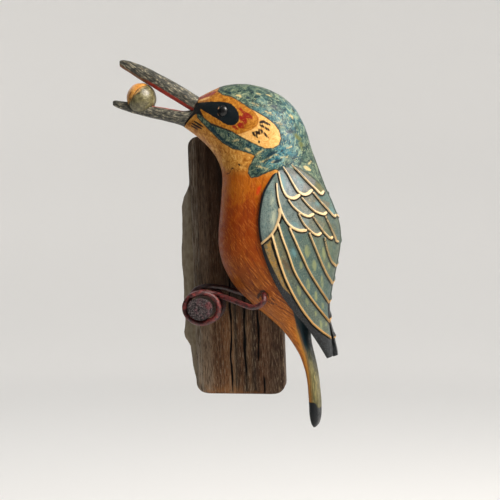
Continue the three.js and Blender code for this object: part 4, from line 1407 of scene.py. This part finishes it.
def build_peg():
    peg = peg_object("rough_peg", *mesh_size("peg"), rough=PEG_ROUGH)
    set_attribute(peg.data, "place", points_of(peg.data))
    finish_piece(peg, "rough_peg", ["perch_peg"], "rough_peg", peg_wood())


def crack_depth(across, z):
    """How deep the cracks go at a place on the board."""
    depth = np.zeros(across.shape)
    heights = np.linspace(-100, 100, 41)
    for i, (place, deep, half, low, high) in enumerate(CRACKS):
        line = np.stack([np.full(41, i * 3.7), np.zeros(41), heights], 1)
        sway = np.interp(z, heights, fractal(line, (1, 1, 0.035), 3))
        wide = half * (1 + 0.5 * np.sin(z * 0.21 + i) * np.sin(z * 0.057 + 2 * i))
        ends = np.clip(np.minimum(z - low, high - z) / 9, 0, 1)
        gap = (across - place - CRACK_SWAY * sway) / wide
        depth = np.maximum(depth, deep * ends * np.exp(-np.abs(gap) ** 1.6))
    return depth


def board_rings(rows, front):
    """The plain board as rings from the bottom up, and how far each is natural edge or rounded end."""
    near_end = np.array([0, 0.15, 0.45, 0.9])
    z = np.concatenate([
        BOARD_BOTTOM + near_end,
        np.linspace(BOARD_BOTTOM + 1.4, BOARD_TOP - 1.4, rows),
        BOARD_TOP - near_end[::-1],
    ])
    from_end = np.minimum(BOARD_TOP - z, z - BOARD_BOTTOM)
    corner = np.clip(BOARD_CORNER - from_end, 0, None)
    cut = BOARD_CORNER - np.sqrt(BOARD_CORNER**2 - corner**2)
    edge = np.clip(1 - from_end / BOARD_END_ROUND, 0, 1)
    inset = BOARD_END_ROUND * (1 - np.sqrt(1 - edge**2)) * 0.8
    heights, reaches = zip(*WANEY_EDGE[::-1])
    flare = np.interp(z, heights, reaches, left=0, right=0)
    shift = -BOARD_LEAN * z
    turn = np.linspace(0, np.pi / 2, BOARD_TURN_POINTS + 1)[:-1]
    round_edge = BOARD_EDGE_ROUND
    lefts = shift - BOARD_HALF_WIDTH + cut + inset
    rights = shift + BOARD_HALF_WIDTH - cut - inset
    rings = []
    # Each ring runs up the right side, across the front, down the natural edge and along the back.
    for height, left, right, face, spread in zip(z, lefts, rights, inset - BOARD_THICK, flare):
        bark = [(left + round_edge, face), (left + 0.2, face + round_edge)]
        bark += [(left - spread * reach, face * thick) for reach, thick in WANEY_SECTION[::-1]]
        side = through(bark, np.linspace(0, 1, BOARD_BARK_POINTS + 1))[1:]
        side[:, 1] = np.minimum(side[:, 1], 0)
        up_side = np.linspace(0, face + round_edge, BOARD_SIDE_POINTS, endpoint=False)
        across = np.linspace(right - round_edge, left + round_edge, front)
        back = np.linspace(left - spread, right, BOARD_BACK_POINTS + 2)[1:-1]
        flat = np.vstack([
            np.stack([np.full(BOARD_SIDE_POINTS, right), up_side], 1),
            np.stack([right - round_edge * (1 - np.cos(turn)), face + round_edge * (1 - np.sin(turn))], 1),
            np.stack([across, np.full(front, face)], 1),
            side,
            np.stack([back, np.zeros(BOARD_BACK_POINTS)], 1),
        ])
        rings.append(np.stack([flat[:, 0], flat[:, 1], np.full(len(flat), height)], 1))
    points = np.array(rings)
    bark = np.zeros(points.shape[:2])
    first = BOARD_SIDE_POINTS + BOARD_TURN_POINTS + front
    begins = np.clip((WANEY_EDGE[0][0] - z) / 9, 0, 1)[:, None]
    bark[:, first:first + BOARD_BARK_POINTS] = np.linspace(0, 1, BOARD_BARK_POINTS)[None, :] ** 0.4 * begins
    return points, bark, edge


def end_cap(ring, sign):
    """Smaller and smaller rings over a sawn end, with its grain."""
    centre = ring.mean(0)
    cap = []
    for share in (0.95, 0.85, 0.7, 0.5, 0.3, 0.12):
        row = centre + (ring - centre) * share
        raised = sign * END_LUMPS * (1 + fractal(row, (0.5, 0.16, 0.5), 3, 3.3))
        cap.append(row + np.array([0, 0, 1]) * raised[:, None])
    return cap


def build_board():
    points, bark, edge = board_rings(*mesh_size("board"))
    count, sides = bark.shape
    flat = points.reshape(-1, 3)
    across = flat[:, 0] + BOARD_LEAN * flat[:, 2]
    in_front = np.clip((-BOARD_THICK + 2 - flat[:, 1]) / 1.6, 0, 1) * np.repeat(1 - edge, sides)
    off_back = np.clip(-flat[:, 1] / 1.5, 0, 1)
    cracks = crack_depth(across, flat[:, 2]) * in_front
    grain = fractal(flat, (0.75, 0.2, 0.022), 4, 1.7)
    waves = fractal(flat, (0.09, 0.09, 0.012), 2, 8.8)
    lumps = fractal(flat, (0.06, 0.09, 0.05), 3, 4.4)
    bare = 1 - bark.ravel()
    sideways = (1 - in_front) * off_back * (SIDE_GRAIN * grain * bare + bark.ravel() * BARK_LUMPS * lumps)
    flat[:, 1] += cracks + in_front * (FRONT_GRAIN * (grain + 0.35) + FRONT_WAVES * (waves + 0.3))
    flat[:, 0] += sideways * np.where(across > 0, 1, -1)
    points = flat.reshape(points.shape)
    bottom, top = end_cap(points[0], 1), end_cap(points[-1], -1)
    added = (len(bottom), len(top)), (0, 0)
    board = loft_object("weathered_board", np.concatenate([bottom[::-1], points, top]), {
        "crack": np.pad(cracks.reshape(count, sides), added),
        "bark": np.pad(bark, added),
        "end": np.pad(across_rings(edge, sides), added, constant_values=1),
    }, turned=False)
    combine(board, peg_object("peg hole", 4, 40, grow=CLEARANCE), "DIFFERENCE")
    placed = points_of(board.data)
    placed[:, 0] += BOARD_LEAN * placed[:, 2]
    set_attribute(board.data, "place", placed)
    finish_piece(board, "weathered_board", ["backboard"], "weathered_board", board_wood())


# More materials

def board_wood():
    n = Nodes("weathered board", Roughness=0.85, Specular_IOR_Level=0.3)
    place = n.field("place", "Vector")
    x, y, z = n.axes(place)
    streaks = n.noise(n.stretch(place, (0.55, 0.2, 0.02)), 1, 5, 0.68, 0.15)
    fine = n.noise(n.stretch(place, (1.7, 0.6, 0.16)), 1, 4, 0.7, 0.3)
    broad = n.noise(n.stretch(place, (0.12, 0.1, 0.02), (5, 0, 0)), 1, 3, 0.5)
    u = n.ramp(x, -32.4, 32.4) + (streaks - 0.5) * 0.1
    tone = n.blend({
        0: (72, 58, 44), 0.07: (118, 100, 82), 0.13: (88, 60, 38), 0.3: (112, 74, 44), 0.4: (134, 102, 72),
        0.44: (60, 50, 38), 0.52: (104, 70, 44), 0.6: (44, 36, 28), 0.66: (106, 80, 56), 0.74: (50, 40, 32),
        0.82: (94, 62, 40), 0.93: (98, 74, 56), 1: (52, 36, 26),
    }, u)
    n.coat = n.mix(n.ramp(streaks, 0.5, 0.72, 0, 0.6), tone, (148, 120, 92))
    n.lay(n.ramp(streaks, 0.48, 0.3, 0, 0.7), (42, 28, 18))
    n.lay(n.ramp(fine, 0.52, 0.64, 0, 0.6), (156, 136, 112))
    n.lay(n.ramp(fine, 0.48, 0.38, 0, 0.7), (30, 20, 13))
    n.lay(n.ramp(z, -20, 95) * n.ramp(broad, 0.3, 0.6, 0.55, 0.92), (34, 16, 4))
    pale = n.noise(n.stretch(place, (1.5, 0.6, 0.07), (3, 0, 9)), 1, 4, 0.7, 0.3)
    beside_edge = n.ramp(x, -25, -28) * n.ramp(x, -32.2, -31)
    n.lay(beside_edge * n.ramp(pale, 0.46, 0.58, 0.15, 1), (132, 122, 108))
    n.lay(n.ramp(pale, 0.56, 0.7, 0, 0.4), (104, 84, 64))
    # Painted shadow: the board goes near black towards the bird's breast, where the bird shades it.
    n.lay(n.ramp(x, -10, 6, 0, 0.9) * n.ramp(z, -5, 30), (8, 4, 2))
    # Painted shadow of the bird on the board's front face, darker towards the bird and down to about the peg.
    bird_shadow = n.ramp(x, -22, -4) * n.ramp(z, -48, -20)
    bird_shadow = bird_shadow * n.ramp(y, -6, -16, 0, 0.85)
    n.lay(bird_shadow, (18, 10, 6))
    rust = n.ramp(z, -86, -94) * n.ramp(n.noise(place, 0.12, 3), 0.5, 0.6)
    n.lay(rust * 0.45, (140, 92, 48))
    bark = n.field("bark")
    patches = n.noise(place, 0.16, 4, 0.6)
    smooth = n.blend({0.3: (92, 80, 62), 0.55: (118, 106, 86), 0.8: (134, 122, 100)}, patches)
    ragged = bark + (streaks - 0.5) * 1.2
    n.lay(n.ramp(ragged, 0.25, 0.6), smooth)
    end_grain = n.noise(n.stretch(place, (0.5, 0.9, 0.5)), 1, 4, 0.6, 0.6)
    end = n.blend({0.3: (52, 38, 28), 0.55: (86, 64, 46), 0.8: (120, 94, 70)}, end_grain)
    n.lay(n.field("end") * 0.7, end)
    # Painted shade in the cracks: near black, darker where a crack is deeper.
    n.lay(n.ramp(n.field("crack"), 0.25, 1.2), (12, 10, 9))
    relief = streaks * 0.6 + fine * 0.5
    return n.set(Base_Color=n.coat, Normal=n.bump(relief, 0.0008, 0.8))


def peg_wood():
    n = Nodes("rough peg", Roughness=0.9, Specular_IOR_Level=0.25)
    place = n.field("place", "Vector")
    y = n.axes(place)[1]
    grains = n.noise(place, 1.3, 4, 0.7)
    clots = n.noise(place, 0.35, 3, 0.6)
    end = n.blend({0.36: (10, 9, 10), 0.5: (38, 33, 35), 0.64: (88, 79, 79)}, grains)
    end = n.mix(n.ramp(clots, 0.5, 0.7, 0, 0.5), end, (92, 60, 66))
    dab_middle = (PEG_CENTRE[0] + 6.3, -PEG_END, PEG_CENTRE[1] + 2.6)
    dab = n.ramp(n.vector_math("DISTANCE", place, dab_middle, "Value"), 3.2, 1.6) * n.ramp(grains, 0.3, 0.55)
    end = n.mix(dab * 0.35, end, (120, 50, 54))
    # The peg's side: dark brown fibres, kept darker than the wood's own tone as painted shade for the gap
    # between the wire ring and the peg.
    fibres = n.noise(n.stretch(place, (1, 0.12, 1)), 1, 4, 0.6)
    bark = n.blend({0.3: (20, 15, 12), 0.6: (58, 46, 38)}, fibres)
    base = n.mix(n.ramp(y, -PEG_END + 3, -PEG_END + 1.2), bark, end)
    return n.set(Base_Color=base, Normal=n.bump(grains, 0.0008, 0.9))


def leg_paint():
    n = Nodes("leg paint", Roughness=0.42, Specular_IOR_Level=0.5)
    place = n.field("place", "Vector")
    lumps = n.noise(place, 0.5, 4, 0.65, 0.3)
    n.coat = n.blend({0.34: (26, 8, 8), 0.5: (60, 17, 16), 0.68: (112, 38, 34)}, lumps)
    worn = n.ramp(n.noise(place, 1.6, 4, 0.7), 0.6, 0.75)
    n.lay(worn * 0.7, (46, 28, 30))
    # Painted shade: the wire goes near black towards the board, on the far leg and its ring behind the bird.
    y = n.axes(place)[1]
    n.lay(n.ramp(y, -58, -46, 0, 0.65), (14, 6, 6))
    rough = n.ramp(lumps, 0.3, 0.7, 0.3, 0.55)
    return n.set(Base_Color=n.coat, Roughness=rough, Normal=n.bump(lumps, 0.0006, 0.7))


def beak_paint():
    n = Nodes("beak paint", Roughness=0.55, Specular_IOR_Level=0.4)
    place = n.field("place", "Vector")
    mouth, along, upper = n.field("mouth"), n.field("along"), n.field("upper")
    flow = n.combine(along * 0.24, mouth * 0.85, upper * 7)
    streaks = n.noise(flow, 1.1, 5, 0.68, 0.3)
    wobble = n.wobble(1.1, place, 0.6, 3)
    greys = {0.34: (24, 24, 22), 0.45: (48, 49, 44), 0.55: (82, 80, 70), 0.66: (152, 145, 122)}
    n.coat = n.blend(greys, streaks)
    worn = n.ramp(n.noise(n.stretch(flow, (0.8, 0.5, 1)), 1.4, 4, 0.7), 0.58, 0.7)
    n.lay(worn * 0.4, (146, 122, 88))
    n.lay(n.ramp(n.noise(place, 1.3, 3, 0.7), 0.55, 0.7, 0, 0.6), (52, 54, 50))
    # Orange-brown along the upper mandible's under edge, from over the nut to the tip.
    orange_under_edge = n.ramp(mouth, 2.4, 0.8) * (upper * n.ramp(along, 40, 46, 0, 0.7))
    n.lay(orange_under_edge, (136, 84, 48))
    # Red along the mouth near the gape, narrow on the lower mandible.
    reach = n.ramp(along, 46, 38)
    red_width = upper * 2.3 + 0.45
    red = n.ramp(mouth + wobble - red_width, 0.3, -0.3) * reach
    n.lay(red, n.blend({0.3: (124, 22, 14), 0.7: (168, 50, 32)}, streaks))
    rough = n.ramp(streaks, 0.3, 0.7, 0.45, 0.62)
    return n.set(Base_Color=n.coat, Roughness=rough, Normal=n.bump(streaks, 0.0005, 0.7))


NUT_LINES = [
    ((-55.9, 127), (-60.2, 125.4), 0.3), ((-60.2, 125.4), (-64, 120.8), 0.35),
    ((-64, 120.8), (-66.1, 115.9), 0.35), ((-66.1, 115.9), (-67.2, 110.6), 0.3),
    ((-61.9, 120.4), (-60.6, 121.3), 0.5), ((-60.6, 121.3), (-59.8, 120.6), 0.4),
]


def nut_paint():
    n = Nodes("nut paint", Roughness=0.38, Specular_IOR_Level=0.55)
    place = n.field("place", "Vector")
    x, _, z = n.axes(place)
    wobble = n.wobble(5, place, 0.3, 3, 0.6)
    slant = x - NUT_CENTRE[0] - (z - NUT_CENTRE[2])
    share = n.ramp(slant + wobble, -6.5, -2)
    broad, fine = n.noise(place, 0.35, 4, 0.6, 0.5), n.noise(place, 0.4, 4, 0.6, 0.5)
    warm = n.blend({0.3: (132, 76, 24), 0.5: (190, 128, 53), 0.7: (212, 164, 92)}, broad)
    cool = n.blend({0.3: (52, 48, 30), 0.5: (92, 86, 56), 0.7: (134, 130, 96)}, fine)
    n.coat = n.mix(share, warm, cool)
    n.lay(n.inside("nut_lines", 0.4, n.wobble(0.6, place, 0.8, 2)), (44, 32, 24))
    return n.set(Base_Color=n.coat, Normal=n.bump(n.noise(place, 0.9, 3, 0.6), 0.0003, 0.5))


def eye_glass():
    n = Nodes("eye bead", Roughness=0.36, Specular_IOR_Level=0.42)
    return n.set(Base_Color=linear(8, 8, 9))


# Stage, light and camera

VIEW_TARGET = Vector((0.0130, -0.054, 0.0112))
VIEW_TURN = 5
VIEW_RISE = 1.5
VIEW_DISTANCE = 0.95
VIEW_LENS = 97.71
BOWL_ROWS = 48
BOWL_SIDES = 96
# The bowl's profile: distance from the middle and height, in metres.
BOWL = [(0, -0.3), (1.3, -0.3), (1.7, -0.22), (2, 0.05), (2.15, 0.6), (2.2, 2.4)]


def direction(turn, rise):
    """A unit direction from the target: turn is degrees to the right of the front, rise is degrees up."""
    turn, rise = math.radians(turn), math.radians(rise)
    return Vector((math.sin(turn) * math.cos(rise), -math.cos(turn) * math.cos(rise), math.sin(rise)))


def build_stage():
    profile = through(BOWL, np.linspace(0, 1, BOWL_ROWS))
    away, up = np.maximum(profile[:, 0, None], 0.001), profile[:, 1, None]
    angle = circle(BOWL_SIDES)[None, :]
    rings = np.stack([away * np.cos(angle), away * np.sin(angle), np.repeat(up, BOWL_SIDES, 1)], -1)
    faces = ring_faces(BOWL_ROWS, BOWL_SIDES)
    bowl = make_object("pale studio bowl", rings.reshape(-1, 3) / MM, faces, turned=False)
    bowl.data.shade_smooth()
    n = Nodes("studio white", Roughness=0.9, Specular_IOR_Level=0.1, Emission_Strength=0.09)
    bowl.data.materials.append(n.set(Base_Color=linear(226, 226, 225), Emission_Color=linear(250, 250, 250)))


def aim(thing, turn, rise, distance):
    """Puts a lamp, card or camera at this distance from the target and faces it there."""
    toward = direction(turn, rise)
    thing.location = VIEW_TARGET + toward * distance
    thing.rotation_euler = toward.to_track_quat("Z", "Y").to_euler()


def add_light(name, turn, rise, distance, size, watts, colour=(255, 255, 255)):
    data = bpy.data.lights.new(name, "AREA")
    data.shape = "DISK"
    data.size = size
    data.energy = watts
    data.color = linear(*colour)[:3]
    lamp = add_object(name, data)
    aim(lamp, turn, rise, distance)
    lamp.visible_camera = False


def add_flag(name, turn, rise, distance, radius):
    """A black card that the camera doesn't see. It keeps the pale bowl's light off one side."""
    angle = circle(48)
    rim = np.stack([np.cos(angle), np.sin(angle), np.zeros(48)], 1) * radius / MM
    card = make_object(name, rim, [range(48)], turned=False)
    aim(card, turn, rise, distance)
    card.visible_camera = False
    card.visible_shadow = False
    cloth = Nodes("black cloth", Roughness=1.0, Specular_IOR_Level=0.0)
    card.data.materials.append(cloth.set(Base_Color=linear(2, 2, 2)))


def build_lights():
    add_light("key", 46, 42, 1.2, 0.6, 32, (255, 247, 238))
    add_light("fill", -50, 20, 1.4, 0.9, 1.2, (236, 242, 255))
    add_light("back", 150, 40, 1.5, 0.9, 2.5)
    add_light("back left", -140, 30, 1.5, 0.9, 2.0)
    add_flag("flag in front", 0, -5, 1.15, 1.0)
    add_flag("flag on the left", -75, 0, 1.0, 0.85)
    world = bpy.data.worlds.new("studio")
    world.use_nodes = True
    background = world.node_tree.nodes["Background"]
    background.inputs["Color"].default_value = linear(236, 238, 240)
    background.inputs["Strength"].default_value = 0.4
    bpy.context.scene.world = world


def build_camera():
    data = bpy.data.cameras.new("camera")
    data.lens = VIEW_LENS
    data.sensor_width = 36
    data.clip_start = 0.02
    data.clip_end = 20
    camera = add_object("camera", data)
    aim(camera, VIEW_TURN, VIEW_RISE, VIEW_DISTANCE)
    bpy.context.scene.camera = camera


build_bird()
build_beak()
build_nut()
build_eyes()
build_wires()
build_peg()
build_board()
build_stage()
build_lights()
build_camera()
bpy.context.scene.view_settings.view_transform = "Standard"
